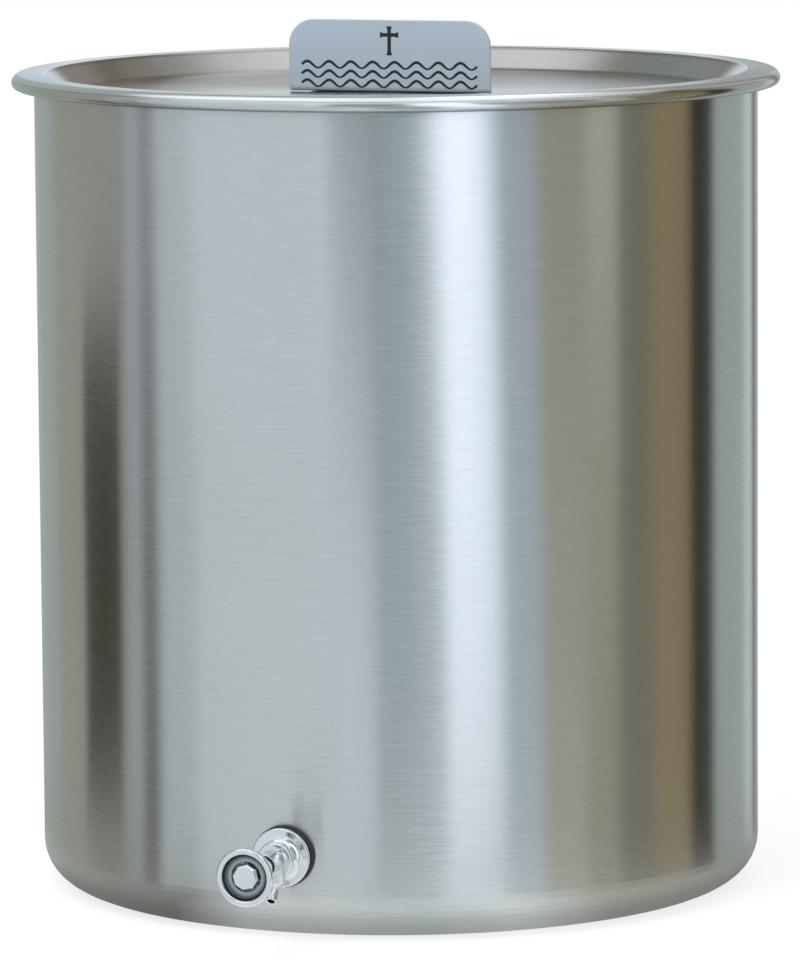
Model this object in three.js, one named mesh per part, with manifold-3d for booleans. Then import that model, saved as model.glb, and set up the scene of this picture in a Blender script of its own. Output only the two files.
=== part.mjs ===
// A stainless steel water tank with a rolled rim, a recessed lift-off lid, a sign that serves as
// the lid's handle, and a small push-button tap near the base.
// Millimetres, +Z up. The origin is the centre of the base's underside, the tap points along -Y
// and the sign faces -Y.
import * as THREE from "three";
import { mergeVertices } from "three/addons/utils/BufferGeometryUtils.js";
import Module from "manifold-3d";

const wasm = await Module();
wasm.setup();

// Driving dimensions

// Between pieces
const seatGap = 0.3; // between two pieces that touch
const cutOverrun = 2; // how far a cutting tool runs past the face it cuts

// Tank
const tankRadius = 147.5; // outside of the wall
const tankHeight = 331.9; // base to the top of the rolled rim
const tankSheet = 0.9;
const baseBend = 17.1; // inside radius of the bend from base to wall
const neckBend = 1.1; // inside radius of the bend from wall to rim
const rimReach = 9.2; // how far the rim stands out of the wall
const rimDrop = 5; // height of the rolled rim
const rimReturn = 4.2; // how far the rolled sheet comes back under the rim

// Lid
const lidSheet = 0.8;
const lidMargin = 0.5; // the rim's edge shows this far outside the lid's edge
const lidPlay = 3.6; // between the tank's wall and the top of the lid's recess
const recessDepth = 8.9; // lid's top to the panel's top
const recessTaper = 9; // how much the recess narrows towards the panel
const recessTopBend = 0.8; // inside radius of the bend from rim to recess
const recessFootBend = 1.5; // inside radius of the bend from recess to panel

// Sign
const signWidth = 86;
const signHeight = 29.3;
const signSheet = 1.5;
const signCorner = 10.5; // radius of the two upper corners
const signBend = 0.5; // inside radius of the bend from foot to plate
const signFoot = 17; // depth of the foot, with the plate's thickness
const signForward = 8.7; // the plate's front face stands this far in front of the lid's centre
const footInset = 8; // plate's side edge to the foot's side edge
const footCorner = 4; // radius of the foot's two free corners
const footNotch = 1; // radius where the foot's side meets the plate

// Rivets that hold the sign
const rivetRadius = 1.6;
const rivetInset = 15; // sign's side edge to the rivet's axis
const rivetHeadRadius = 3.2;
const rivetHeadHeight = 1.3;
const rivetHeadRounding = 1.1;
const rivetTailRadius = 2.5;
const rivetTailHeight = 1;

// Tap: places along its axis are counted outwards from the tank's wall
const tapHeight = 34; // axis above the base
const gasketRadius = 12.2;
const gasketThickness = 2.9;
const flangeRadius = 11.8;
const flangeThickness = 2.2;
const flangeRounding = 0.7;
const throatRadius = 6.1; // narrowest part of the flare, behind the collar
const flareRounding = 3.6; // radius of the hollow curve from flange to throat
const flareLength = 3.7;
const collarRadius = 7.4;
const collarLength = 3.3;
const collarRounding = 0.9;
const outletStep = 1.3; // collar's front to the outlet's axis
const outletRadius = 5.1;
const outletDome = 4.9; // rounding of the outlet's closed upper end
const outletDrop = 9.6; // tap's axis to the outlet's lower end
const outletEdge = 2.2; // rounding of its lower edge
const neckRadius = 4.7;
const neckLength = 10.7; // outlet's axis to the neck's front end

// Tap: inside of the casting
const shankRadius = 7.7;
const shankOverhang = 6; // how far the shank runs past the nut
const inletBore = 4.4; // radius
const seatBore = 2.5; // radius
const webThickness = 1.1; // between the outlet's bore and the seal's socket
const socketRadius = 3.3; // socket for the seal and the guard's spigot

// Tap: fixing inside the tank
const sealRadius = 11.4;
const sealThickness = 2.2;
const washerThickness = 1.5;
const nutSides = 6;
const nutFlats = 22; // width across flats
const nutThickness = 5.5;

// Tap: spout
const spoutRadius = 2.4;
const spoutWall = 0.9;
const spoutInsert = 3.1; // length inside the outlet
const spoutStraight = 0.5; // straight length below the outlet
const spoutBendDrop = 2.3; // how far below the straight length its line meets the tip's
const spoutDrop = 15.2; // tap's axis to the middle of the spout's tip
const spoutLean = 2.8; // how far the tip stands in front of the outlet's axis

// Tap: button and its guard
const sealSection = 0.65; // radius of the stem seal's section
const spigotLength = 4.4; // part of the guard inside the socket
const guardWasherRadius = 4.5;
const guardWasherThickness = 0.8;
const guardNeckRadius = 4.1;
const guardFloor = 2.5; // guard's shoulder to the floor of the spring's pocket
const springPocket = 3.1; // radius
const guardNeckLength = 11.2;
const bowlRadius = 7.4; // outside of the well that the button slides in
const bowlLength = 6.2;
const bezelRadius = 11.5;
const bezelWidth = 2.5;
const bezelLength = 5.2;
const bezelRounding = 1.2;
const bowlRounding = 2; // bezel's outer edge at the back, and the bowl's edge behind it
const floorRounding = 1.7; // between the bezel's inside and the floor
const fingerDepth = 3; // bezel's front to the floor round the button
const buttonSides = 8;
const buttonTurn = -9; // degrees, seen from the front
const buttonFlats = 10.4; // width across flats
const buttonLength = 4.2;
const buttonChamfer = 1.2;
const buttonInset = 0.4; // bezel's front to the button's face
const buttonTravel = 3.5;
const stemRadius = 1.4;
const stemSocket = 2.6; // depth of the stem's hole in the button
const springWire = 0.3; // radius
const valveRadius = 3.8;
const valveThickness = 2;
const retainerFlats = 5.6; // width across flats
const retainerThickness = 2.2;
const stemOverhang = 0.5; // how far the stem runs past the retainer

// Fineness of the faceted surfaces
const arcError = 0.1; // largest distance between an arc and its chord
const coarsestShare = 0.3; // the same at most, as a share of a small arc's radius
const weldDistance = 0.0001; // vertices closer than this are one vertex
const tankSteps = 72;
const tapSteps = 32;
const boreSteps = 24;
const sealSteps = 10;
const springTurns = 9;
const springTurnSteps = 8;
const springWireSides = 5;

// Places worked out from the dimensions

const rimRadius = tankRadius + rimReach;
const lidTop = tankHeight + seatGap + lidSheet;
const lidRadius = rimRadius - lidMargin;
const openingRadius = tankRadius - tankSheet - lidPlay;
const panelRadius = openingRadius - recessTaper;
const panelTop = lidTop - recessDepth;
const panelUnderside = panelTop - lidSheet;
const footUnderside = panelTop + seatGap;
const footTop = footUnderside + signSheet;
const rivetY = (signFoot - signSheet) / 2 - signForward + signSheet;

const gasketFront = seatGap + gasketThickness;
const flangeBack = gasketFront + seatGap;
const flangeFront = flangeBack + flangeThickness;
const collarBack = flangeFront + flareLength;
const collarFront = collarBack + collarLength;
const outletAxis = collarFront + outletStep;
const neckFront = outletAxis + neckLength;
const outletBore = spoutRadius + seatGap;
const socketFloor = outletAxis + outletBore + webThickness;
const stemBore = stemRadius + seatGap;

const sealFace = -tankSheet - seatGap;
const sealBack = sealFace - sealThickness;
const washerFront = sealBack - seatGap;
const washerBack = washerFront - washerThickness;
const nutFront = washerBack - seatGap;
const nutBack = nutFront - nutThickness;
const shankEnd = nutBack - shankOverhang;

const guardWasherBack = neckFront + seatGap;
const guardWasherFront = guardWasherBack + guardWasherThickness;
const guardBack = guardWasherFront + seatGap;
const guardSpigotEnd = neckFront - spigotLength;
const pocketFloor = guardBack + guardFloor;
const guardNeckEnd = guardBack + guardNeckLength;
const bowlEnd = guardNeckEnd + bowlLength;
const guardFront = bowlEnd + bezelLength;
const buttonFace = guardFront - buttonInset;
const buttonBack = buttonFace - buttonLength;
const buttonCorner = buttonFlats / 2 / Math.cos(Math.PI / buttonSides);
const wellRadius = buttonCorner + seatGap;
const wellFloor = buttonBack - buttonTravel - seatGap;
const valveFront = flangeFront - seatGap;
const valveBack = valveFront - valveThickness;
const retainerFront = valveBack - seatGap;
const retainerBack = retainerFront - retainerThickness;

// Materials

const metal = (color, roughness) => new THREE.MeshStandardMaterial({ color, roughness, metalness: 1 });
const brushedSteel = metal(0xb4b6b2, 0.36);
const satinSteel = metal(0xacbdcd, 0.5);
const chrome = metal(0xe6eaee, 0.08);
const brass = metal(0xb9975a, 0.35);
const springSteel = metal(0x9a9ca0, 0.3);
const rubber = new THREE.MeshStandardMaterial({ color: 0x141414, roughness: 0.75, metalness: 0 });

// Outlines

const at = (x, y) => new THREE.Vector2(x, y);

// Points of the arc that rounds the corner of a path; the corner itself where the path runs straight.
function roundedCorner(before, corner, after, radius) {
  const back = before.clone().sub(corner).normalize();
  const onward = after.clone().sub(corner).normalize();
  const half = Math.acos(THREE.MathUtils.clamp(back.dot(onward), -1, 1)) / 2;
  if (radius <= 0 || Math.cos(half) < weldDistance) return [corner.clone()];
  const middle = back.clone().add(onward).normalize();
  const centre = corner.clone().addScaledVector(middle, radius / Math.sin(half));
  const start = corner.clone().addScaledVector(back, radius / Math.tan(half));
  const sweep = Math.PI - 2 * half;
  const turn = Math.sign(back.cross(onward)) || 1;
  const steps = Math.max(2, Math.ceil(sweep / (2 * Math.acos(1 - Math.min(arcError / radius, coarsestShare)))));
  return Array.from({ length: steps + 1 }, (_, i) =>
    start.clone().rotateAround(centre, (-turn * sweep * i) / steps),
  );
}

// A path with its inner corners rounded, one radius for each.
function roundedPath(corners, radii) {
  const points = [corners[0]];
  for (let i = 1; i < corners.length - 1; i++)
    points.push(...roundedCorner(corners[i - 1], corners[i], corners[i + 1], radii[i - 1]));
  points.push(corners[corners.length - 1]);
  return points.filter((point, i) => i === 0 || point.distanceTo(points[i - 1]) > weldDistance);
}

// The corners of a path moved sideways, to the left where distance is positive.
function offsetPath(corners, distance) {
  const normals = corners.slice(1).map((corner, i) => {
    const along = corner.clone().sub(corners[i]).normalize();
    return at(-along.y, along.x);
  });
  return corners.map((corner, i) => {
    const a = normals[Math.max(i - 1, 0)];
    const b = normals[Math.min(i, normals.length - 1)];
    const middle = a.clone().add(b).normalize();
    return corner.clone().addScaledVector(middle, distance / middle.dot(a));
  });
}

// The outline of a sheet bent along a path. The sheet lies to the left of the path where thickness is
// positive. Each bend has its inside radius, on whichever face is the inside there.
function bentSheet(corners, bends, thickness) {
  const other = offsetPath(corners, thickness);
  const onPath = [];
  const onOther = [];
  bends.forEach((bend, i) => {
    const before = corners[i + 1].clone().sub(corners[i]);
    const after = corners[i + 2].clone().sub(corners[i + 1]);
    const otherIsInside = before.cross(after) * thickness > 0;
    onPath.push(otherIsInside ? bend + Math.abs(thickness) : bend);
    onOther.push(otherIsInside ? bend : bend + Math.abs(thickness));
  });
  return [...roundedPath(corners, onPath), ...roundedPath(other, onOther).reverse()];
}

// Solids

function weld(geometry) {
  const loose = geometry.index ? geometry.toNonIndexed() : geometry;
  return mergeVertices(
    new THREE.BufferGeometry().setAttribute("position", loose.getAttribute("position")),
    weldDistance,
  );
}

// A closed geometry as a solid, turned right side out where its faces point inwards.
function solid(geometry) {
  const welded = weld(geometry);
  const vertProperties = welded.getAttribute("position").array;
  const triVerts = new Uint32Array(welded.index.array);
  const made = new wasm.Manifold(new wasm.Mesh({ numProp: 3, vertProperties, triVerts }));
  if (made.volume() > 0) return made;
  for (let i = 0; i < triVerts.length; i += 3)
    [triVerts[i + 1], triVerts[i + 2]] = [triVerts[i + 2], triVerts[i + 1]];
  return new wasm.Manifold(new wasm.Mesh({ numProp: 3, vertProperties, triVerts }));
}

function geometryOf(made) {
  const { vertProperties, triVerts } = made.getMesh();
  const geometry = new THREE.BufferGeometry();
  geometry.setAttribute("position", new THREE.BufferAttribute(new Float32Array(vertProperties), 3));
  geometry.setIndex(new THREE.BufferAttribute(new Uint32Array(triVerts), 1));
  geometry.computeVertexNormals();
  return geometry;
}

// An outline of (radius, height) points turned round the Y axis. One off the axis closes on itself.
function turnedUpright(outline, steps) {
  const last = outline[outline.length - 1];
  const onAxis = outline[0].x === 0 && last.x === 0;
  return solid(new THREE.LatheGeometry(onAxis ? outline : [...outline, outline[0]], steps));
}

// The same round the Z axis.
const turned = (outline, steps) => turnedUpright(outline, steps).rotate([90, 0, 0]);

// A plain round bar or cutter along Z.
const bar = (radius, from, to, steps) =>
  turned([at(0, from), at(radius, from), at(radius, to), at(0, to)], steps);

// A flat ring along Z.
const ring = (inner, outer, from, to, steps) =>
  turned([at(inner, from), at(outer, from), at(outer, to), at(inner, to)], steps);

// The tank's wall surface, grown or shrunk, as a cylinder in the tap's own frame.
function tankSurface(radius) {
  const height = 2 * (gasketRadius + cutOverrun);
  const cylinder = new THREE.CylinderGeometry(radius, radius, height, 2 * tankSteps);
  cylinder.translate(0, 0, -tankRadius);
  return solid(cylinder);
}

// A flat outline in two world directions, extruded along a third.
function extruded(outline, length, across, up, along) {
  const geometry = new THREE.ExtrudeGeometry(new THREE.Shape(outline), { depth: length, bevelEnabled: false });
  return solid(geometry.applyMatrix4(new THREE.Matrix4().makeBasis(across, up, along)));
}

const X = new THREE.Vector3(1, 0, 0);
const Y = new THREE.Vector3(0, 1, 0);
const Z = new THREE.Vector3(0, 0, 1);

// Tank

function tankGeometry() {
  const rimSheetTop = tankHeight - tankSheet;
  const rimSheetLow = tankHeight - rimDrop + tankSheet;
  const rollBend = (rimSheetTop - rimSheetLow) / 2;
  const outline = bentSheet(
    [
      at(0, 0),
      at(tankRadius, 0),
      at(tankRadius, rimSheetTop),
      at(rimRadius - tankSheet, rimSheetTop),
      at(rimRadius - tankSheet, rimSheetLow),
      at(rimRadius - tankSheet - rimReturn, rimSheetLow),
    ],
    [baseBend, neckBend, rollBend, rollBend],
    tankSheet,
  );
  const hole = bar(shankRadius + seatGap, -tankSheet - cutOverrun, cutOverrun, tapSteps)
    .rotate([90, 0, 0])
    .translate([0, -tankRadius, tapHeight]);
  return geometryOf(turned(outline, tankSteps).subtract(hole));
}

// Lid

const rivetPlaces = [rivetInset - signWidth / 2, signWidth / 2 - rivetInset];

function rivetHoles(from, to) {
  return rivetPlaces.map((x) =>
    bar(rivetRadius + seatGap, from - cutOverrun, to + cutOverrun, boreSteps).translate([x, rivetY, 0]),
  );
}

function lidGeometry() {
  const outline = bentSheet(
    [at(0, panelTop), at(panelRadius, panelTop), at(openingRadius, lidTop), at(lidRadius, lidTop)],
    [recessFootBend, recessTopBend],
    -lidSheet,
  );
  const holes = rivetHoles(panelUnderside, panelTop);
  return geometryOf(holes.reduce((made, hole) => made.subtract(hole), turned(outline, tankSteps)));
}

function signGeometry() {
  const front = -signForward;
  const top = footUnderside + signHeight;
  const bent = extruded(
    bentSheet(
      [at(front + signFoot, footUnderside), at(front, footUnderside), at(front, top)],
      [signBend],
      -signSheet,
    ),
    signWidth,
    Y,
    Z,
    X,
  ).translate([-signWidth / 2, 0, 0]);
  const half = signWidth / 2;
  const low = footUnderside - cutOverrun;
  const face = roundedPath([at(-half, low), at(-half, top), at(half, top), at(half, low)], [signCorner, signCorner]);
  const faceDepth = signFoot + 2 * cutOverrun;
  const rounded = extruded(face, faceDepth, X, Z, Y.clone().negate()).translate([0, front + signFoot + cutOverrun, 0]);
  const footHalf = half - footInset;
  const start = front - cutOverrun;
  const ledge = front + signSheet + signBend;
  const end = front + signFoot;
  const plan = roundedPath(
    [
      at(-half, start),
      at(-half, ledge),
      at(-footHalf, ledge),
      at(-footHalf, end),
      at(footHalf, end),
      at(footHalf, ledge),
      at(half, ledge),
      at(half, start),
    ],
    [0, footNotch, footCorner, footCorner, footNotch, 0],
  );
  const narrowed = extruded(plan, signHeight + 2 * cutOverrun, X, Y, Z).translate([0, 0, low]);
  const holes = rivetHoles(footUnderside, footTop);
  const sheet = bent.intersect(rounded).intersect(narrowed);
  return geometryOf(holes.reduce((made, hole) => made.subtract(hole), sheet));
}

function rivetGeometry() {
  const headBase = footTop + seatGap;
  const tailTop = panelUnderside - seatGap;
  const head = roundedPath(
    [at(rivetHeadRadius, headBase), at(rivetHeadRadius, headBase + rivetHeadHeight), at(0, headBase + rivetHeadHeight)],
    [rivetHeadRounding],
  );
  const outline = [
    at(0, tailTop - rivetTailHeight),
    at(rivetTailRadius, tailTop - rivetTailHeight),
    at(rivetTailRadius, tailTop),
    at(rivetRadius, tailTop),
    at(rivetRadius, headBase),
    ...head,
  ];
  return geometryOf(turned(outline, boreSteps));
}

// Tap casting, gasket and fixing

function gasketGeometry() {
  const blank = ring(shankRadius + seatGap, gasketRadius, -cutOverrun, gasketFront, tapSteps);
  return geometryOf(blank.subtract(tankSurface(tankRadius + seatGap)));
}

function innerSealGeometry() {
  const blank = ring(shankRadius + seatGap, sealRadius, sealBack, cutOverrun, tapSteps);
  return geometryOf(blank.intersect(tankSurface(tankRadius - tankSheet - seatGap)));
}

const washerGeometry = () =>
  geometryOf(ring(shankRadius + seatGap, sealRadius, washerBack, washerFront, tapSteps));

// A six-sided nut with a round hole.
function nutGeometry(flats, hole, from, to) {
  const corner = flats / 2 / Math.cos(Math.PI / nutSides);
  return geometryOf(bar(corner, from, to, nutSides).subtract(bar(hole, from - cutOverrun, to + cutOverrun, boreSteps)));
}

function castingGeometry() {
  const outside = roundedPath(
    [
      at(0, shankEnd),
      at(shankRadius, shankEnd),
      at(shankRadius, flangeBack),
      at(flangeRadius, flangeBack),
      at(flangeRadius, flangeFront),
      at(throatRadius, flangeFront),
      at(throatRadius, collarBack),
      at(collarRadius, collarBack),
      at(collarRadius, collarFront),
      at(neckRadius, collarFront),
      at(neckRadius, neckFront),
      at(0, neckFront),
    ],
    [0, 0, 0, flangeRounding, flareRounding, 0, collarRounding, collarRounding, 0, 0],
  );
  const outlet = roundedPath(
    [at(0, outletRadius), at(outletRadius, outletRadius), at(outletRadius, -outletDrop), at(0, -outletDrop)],
    [outletDome, outletEdge],
  );
  const passage = [
    at(0, shankEnd - cutOverrun),
    at(inletBore, shankEnd - cutOverrun),
    at(inletBore, flangeFront),
    at(seatBore, flangeFront),
    at(seatBore, outletAxis),
    at(stemBore, outletAxis),
    at(stemBore, socketFloor),
    at(socketRadius, socketFloor),
    at(socketRadius, neckFront + cutOverrun),
    at(0, neckFront + cutOverrun),
  ];
  const outletPassage = [
    at(0, seatBore),
    at(outletBore, seatBore),
    at(outletBore, -outletDrop - cutOverrun),
    at(0, -outletDrop - cutOverrun),
  ];
  return geometryOf(
    turned(outside, tapSteps)
      .add(turnedUpright(outlet, tapSteps).translate([0, 0, outletAxis]))
      .subtract(turned(passage, boreSteps))
      .subtract(turnedUpright(outletPassage, boreSteps).translate([0, 0, outletAxis])),
  );
}

function spoutGeometry() {
  const place = (forward, up) => new THREE.Vector3(0, up, outletAxis + forward);
  const bendStart = -outletDrop - spoutStraight;
  const route = new THREE.CurvePath();
  route.add(new THREE.LineCurve3(place(0, spoutInsert - outletDrop), place(0, bendStart)));
  route.add(
    new THREE.QuadraticBezierCurve3(
      place(0, bendStart),
      place(0, bendStart - spoutBendDrop),
      place(spoutLean, -spoutDrop),
    ),
  );
  const section = new THREE.Shape().absarc(0, 0, spoutRadius, 0, 2 * Math.PI);
  section.holes.push(new THREE.Path().absarc(0, 0, spoutRadius - spoutWall, 0, 2 * Math.PI));
  return geometryOf(
    solid(
      new THREE.ExtrudeGeometry(section, { extrudePath: route, steps: sealSteps, curveSegments: sealSteps, bevelEnabled: false }),
    ),
  );
}

// Tap button, guard, stem and valve

function guardGeometry() {
  const recessRadius = bezelRadius - bezelWidth;
  const recessFloor = guardFront - fingerDepth;
  const outside = roundedPath(
    [
      at(guardNeckRadius, guardBack),
      at(guardNeckRadius, guardNeckEnd),
      at(bowlRadius, guardNeckEnd),
      at(bowlRadius, bowlEnd),
      at(bezelRadius, bowlEnd + bezelWidth),
      at(bezelRadius, guardFront),
      at(recessRadius, guardFront),
      at(recessRadius, recessFloor),
      at(wellRadius, recessFloor),
    ],
    [0, 0, bowlRounding, bowlRounding, bezelRounding, bezelRounding, floorRounding],
  );
  const inside = [
    at(wellRadius, wellFloor),
    at(springPocket, wellFloor),
    at(springPocket, pocketFloor),
    at(stemBore, pocketFloor),
    at(stemBore, guardSpigotEnd),
    at(socketRadius - seatGap, guardSpigotEnd),
    at(socketRadius - seatGap, guardBack),
  ];
  return geometryOf(turned([...outside, ...inside], tapSteps));
}

function buttonGeometry() {
  const outline = [
    at(0, buttonBack),
    at(buttonCorner, buttonBack),
    at(buttonCorner, buttonFace - buttonChamfer),
    at(buttonCorner - buttonChamfer, buttonFace),
    at(0, buttonFace),
  ];
  const stemHole = bar(stemBore, buttonBack - cutOverrun, buttonBack + stemSocket, boreSteps);
  return geometryOf(turned(outline, buttonSides).rotate([0, 0, buttonTurn]).subtract(stemHole));
}

const guardWasherGeometry = () =>
  geometryOf(ring(socketRadius, guardWasherRadius, guardWasherBack, guardWasherFront, boreSteps));

const stemGeometry = () =>
  geometryOf(bar(stemRadius, retainerBack - stemOverhang, buttonBack + stemSocket - seatGap, boreSteps));

function stemSealGeometry() {
  const middle = stemBore + sealSection;
  const place = socketFloor + seatGap + sealSection;
  const geometry = new THREE.TorusGeometry(middle, sealSection, sealSteps, boreSteps);
  return geometryOf(solid(geometry.translate(0, 0, place)));
}

// One unbroken coil. The least gap between two turns is printed.
function springGeometry() {
  const coilRadius = (springPocket + stemRadius) / 2;
  const from = pocketFloor + seatGap + springWire;
  const to = buttonBack - seatGap - springWire;
  const steps = springTurns * springTurnSteps;
  const positions = [];
  const indices = [];
  for (let i = 0; i <= steps; i++) {
    const angle = (2 * Math.PI * i) / springTurnSteps;
    const height = from + ((to - from) * i) / steps;
    for (let k = 0; k < springWireSides; k++) {
      const around = (2 * Math.PI * k) / springWireSides;
      const radius = coilRadius + springWire * Math.cos(around);
      positions.push(radius * Math.cos(angle), radius * Math.sin(angle), height + springWire * Math.sin(around));
    }
  }
  for (let i = 0; i < steps; i++)
    for (let k = 0; k < springWireSides; k++) {
      const next = (k + 1) % springWireSides;
      const [a, b] = [i * springWireSides + k, i * springWireSides + next];
      const [c, d] = [a + springWireSides, b + springWireSides];
      indices.push(a, b, d, a, d, c);
    }
  const end = steps * springWireSides;
  for (let k = 1; k < springWireSides - 1; k++) {
    indices.push(0, k + 1, k);
    indices.push(end, end + k, end + k + 1);
  }
  console.log(`spring: least gap ${((to - from) / springTurns - 2 * springWire).toFixed(2)} mm`);
  const geometry = new THREE.BufferGeometry();
  geometry.setAttribute("position", new THREE.Float32BufferAttribute(positions, 3));
  geometry.setIndex(indices);
  return geometryOf(solid(geometry));
}

const valveGeometry = () => geometryOf(ring(stemBore, valveRadius, valveBack, valveFront, boreSteps));

// Assembly

function addMesh(group, name, geometry, material) {
  const mesh = new THREE.Mesh(geometry, material);
  mesh.name = name;
  group.add(mesh);
  return mesh;
}

const assembly = new THREE.Group();
addMesh(assembly, "tank", tankGeometry(), brushedSteel);

const lidGroup = new THREE.Group();
addMesh(lidGroup, "lid", lidGeometry(), brushedSteel);
addMesh(lidGroup, "sign_plate", signGeometry(), satinSteel);
rivetPlaces.forEach((x, i) => {
  const rivet = addMesh(lidGroup, `sign_rivet_${["left", "right"][i]}`, rivetGeometry(), satinSteel);
  rivet.position.set(x, rivetY, 0);
});
assembly.add(lidGroup);

const tapGroup = new THREE.Group();
tapGroup.position.set(0, -tankRadius, tapHeight);
tapGroup.rotation.x = Math.PI / 2;
addMesh(tapGroup, "outer_gasket", gasketGeometry(), rubber);
addMesh(tapGroup, "inner_seal", innerSealGeometry(), rubber);
addMesh(tapGroup, "shank_washer", washerGeometry(), brass);
addMesh(tapGroup, "lock_nut", nutGeometry(nutFlats, shankRadius + seatGap, nutBack, nutFront), brass);
addMesh(tapGroup, "tap_body", castingGeometry(), chrome);
addMesh(tapGroup, "spout", spoutGeometry(), chrome);
addMesh(tapGroup, "guard_washer", guardWasherGeometry(), rubber);
addMesh(tapGroup, "button_guard", guardGeometry(), chrome);
addMesh(tapGroup, "stem_seal", stemSealGeometry(), rubber);
addMesh(tapGroup, "return_spring", springGeometry(), springSteel);
addMesh(tapGroup, "push_button", buttonGeometry(), chrome);
addMesh(tapGroup, "stem", stemGeometry(), brass);
addMesh(tapGroup, "valve_disc", valveGeometry(), rubber);
addMesh(tapGroup, "valve_retainer", nutGeometry(retainerFlats, stemBore, retainerBack, retainerFront), brass);
assembly.add(tapGroup);

export default assembly;
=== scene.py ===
import math

import bmesh
import bpy
from mathutils import Matrix, Vector


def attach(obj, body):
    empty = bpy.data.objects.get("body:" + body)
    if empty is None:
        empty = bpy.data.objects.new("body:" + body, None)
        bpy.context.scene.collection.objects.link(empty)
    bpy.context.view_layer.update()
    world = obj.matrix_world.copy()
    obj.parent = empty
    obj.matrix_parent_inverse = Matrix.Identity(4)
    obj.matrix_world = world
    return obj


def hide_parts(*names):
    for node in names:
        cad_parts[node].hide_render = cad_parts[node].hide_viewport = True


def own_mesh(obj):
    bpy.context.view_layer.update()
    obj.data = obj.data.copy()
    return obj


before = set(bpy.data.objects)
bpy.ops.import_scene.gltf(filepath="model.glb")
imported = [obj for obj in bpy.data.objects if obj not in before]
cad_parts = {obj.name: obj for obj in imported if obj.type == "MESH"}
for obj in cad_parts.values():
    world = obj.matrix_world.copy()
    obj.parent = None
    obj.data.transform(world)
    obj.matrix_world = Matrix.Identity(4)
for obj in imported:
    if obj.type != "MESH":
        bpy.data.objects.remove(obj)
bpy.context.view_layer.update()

MM = 0.001

# Sizes of the solids, as they are made in the frame

seat_gap = 0.3
tank_radius = 147.5
tank_height = 331.9
tank_sheet = 0.9
base_bend = 17.1
neck_bend = 1.1
rim_reach = 9.2
rim_drop = 5
rim_return = 4.2
lid_sheet = 0.8
lid_margin = 0.5
lid_play = 3.6
recess_depth = 8.9
recess_taper = 9
recess_top_bend = 0.8
recess_foot_bend = 1.5
sign_width = 86
sign_height = 29.28
sign_sheet = 1.5
sign_corner = 10.5
sign_bend = 0.5
sign_foot = 17
sign_forward = 8.7
foot_inset = 8
foot_corner = 4
foot_notch = 1
rivet_radius = 1.6
rivet_inset = 15
rivet_head_radius = 3.2
rivet_head_height = 1.3
rivet_head_rounding = 1.1
rivet_tail_radius = 2.5
rivet_tail_height = 1
tap_height = 34
gasket_radius = 12.2
gasket_thickness = 2.9
flange_radius = 11.8
flange_thickness = 2.2
flange_rounding = 0.7
throat_radius = 6.1
flare_rounding = 3.6
flare_length = 3.7
collar_radius = 7.4
collar_length = 3.3
collar_rounding = 0.9
outlet_step = 1.3
outlet_radius = 5.1
outlet_dome = 4.9
outlet_drop = 9.6
outlet_edge = 2.2
neck_radius = 4.7
neck_length = 10.7
shank_radius = 7.7
shank_overhang = 6
inlet_bore = 4.4
seat_bore = 2.5
web_thickness = 1.1
socket_radius = 3.3
seal_thickness = 2.2
washer_thickness = 1.5
nut_thickness = 5.5
spout_radius = 2.4
spout_wall = 0.9
spout_insert = 3.1
spout_straight = 0.5
spout_bend_drop = 2.3
spout_drop = 15.2
spout_lean = 2.8
spigot_length = 4.4
guard_washer_radius = 4.5
guard_washer_thickness = 0.8
guard_neck_radius = 4.1
guard_floor = 2.5
spring_pocket = 3.1
guard_neck_length = 11.2
bowl_radius = 7.4
bowl_length = 6.2
bezel_radius = 11.5
bezel_width = 2.5
bezel_length = 5.2
bezel_rounding = 1.2
bowl_rounding = 2
floor_rounding = 1.7
finger_depth = 3
button_sides = 8
button_turn = -9
button_flats = 10.4
button_length = 4.2
button_chamfer = 1.2
button_inset = 0.4
button_travel = 3.5
stem_radius = 1.4
stem_socket = 2.6
spring_wire = 0.3
spring_turns = 9

# Places worked out from them

rim_radius = tank_radius + rim_reach
lid_top = tank_height + seat_gap + lid_sheet
lid_radius = rim_radius - lid_margin
opening_radius = tank_radius - tank_sheet - lid_play
panel_radius = opening_radius - recess_taper
panel_top = lid_top - recess_depth
panel_underside = panel_top - lid_sheet
foot_underside = panel_top + seat_gap
foot_top = foot_underside + sign_sheet
sign_top = foot_underside + sign_height
rivet_x = sign_width / 2 - rivet_inset
rivet_y = (sign_foot - sign_sheet) / 2 - sign_forward + sign_sheet
gasket_front = seat_gap + gasket_thickness
flange_back = gasket_front + seat_gap
flange_front = flange_back + flange_thickness
collar_back = flange_front + flare_length
collar_front = collar_back + collar_length
outlet_axis = collar_front + outlet_step
neck_front = outlet_axis + neck_length
outlet_bore = spout_radius + seat_gap
socket_floor = outlet_axis + outlet_bore + web_thickness
stem_bore = stem_radius + seat_gap
shank_end = -tank_sheet - seal_thickness - washer_thickness - nut_thickness - shank_overhang - 3 * seat_gap
guard_washer_back = neck_front + seat_gap
guard_washer_front = guard_washer_back + guard_washer_thickness
guard_back = guard_washer_front + seat_gap
guard_spigot_end = neck_front - spigot_length
pocket_floor = guard_back + guard_floor
guard_neck_end = guard_back + guard_neck_length
bowl_end = guard_neck_end + bowl_length
guard_front = bowl_end + bezel_length
button_face = guard_front - button_inset
button_back = button_face - button_length
button_corner = button_flats / 2 / math.cos(math.pi / button_sides)
well_radius = button_corner + seat_gap
well_floor = button_back - button_travel - seat_gap
spring_base = pocket_floor + seat_gap
spring_length = button_back - seat_gap - spring_base

# Small edges and roundings

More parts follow.
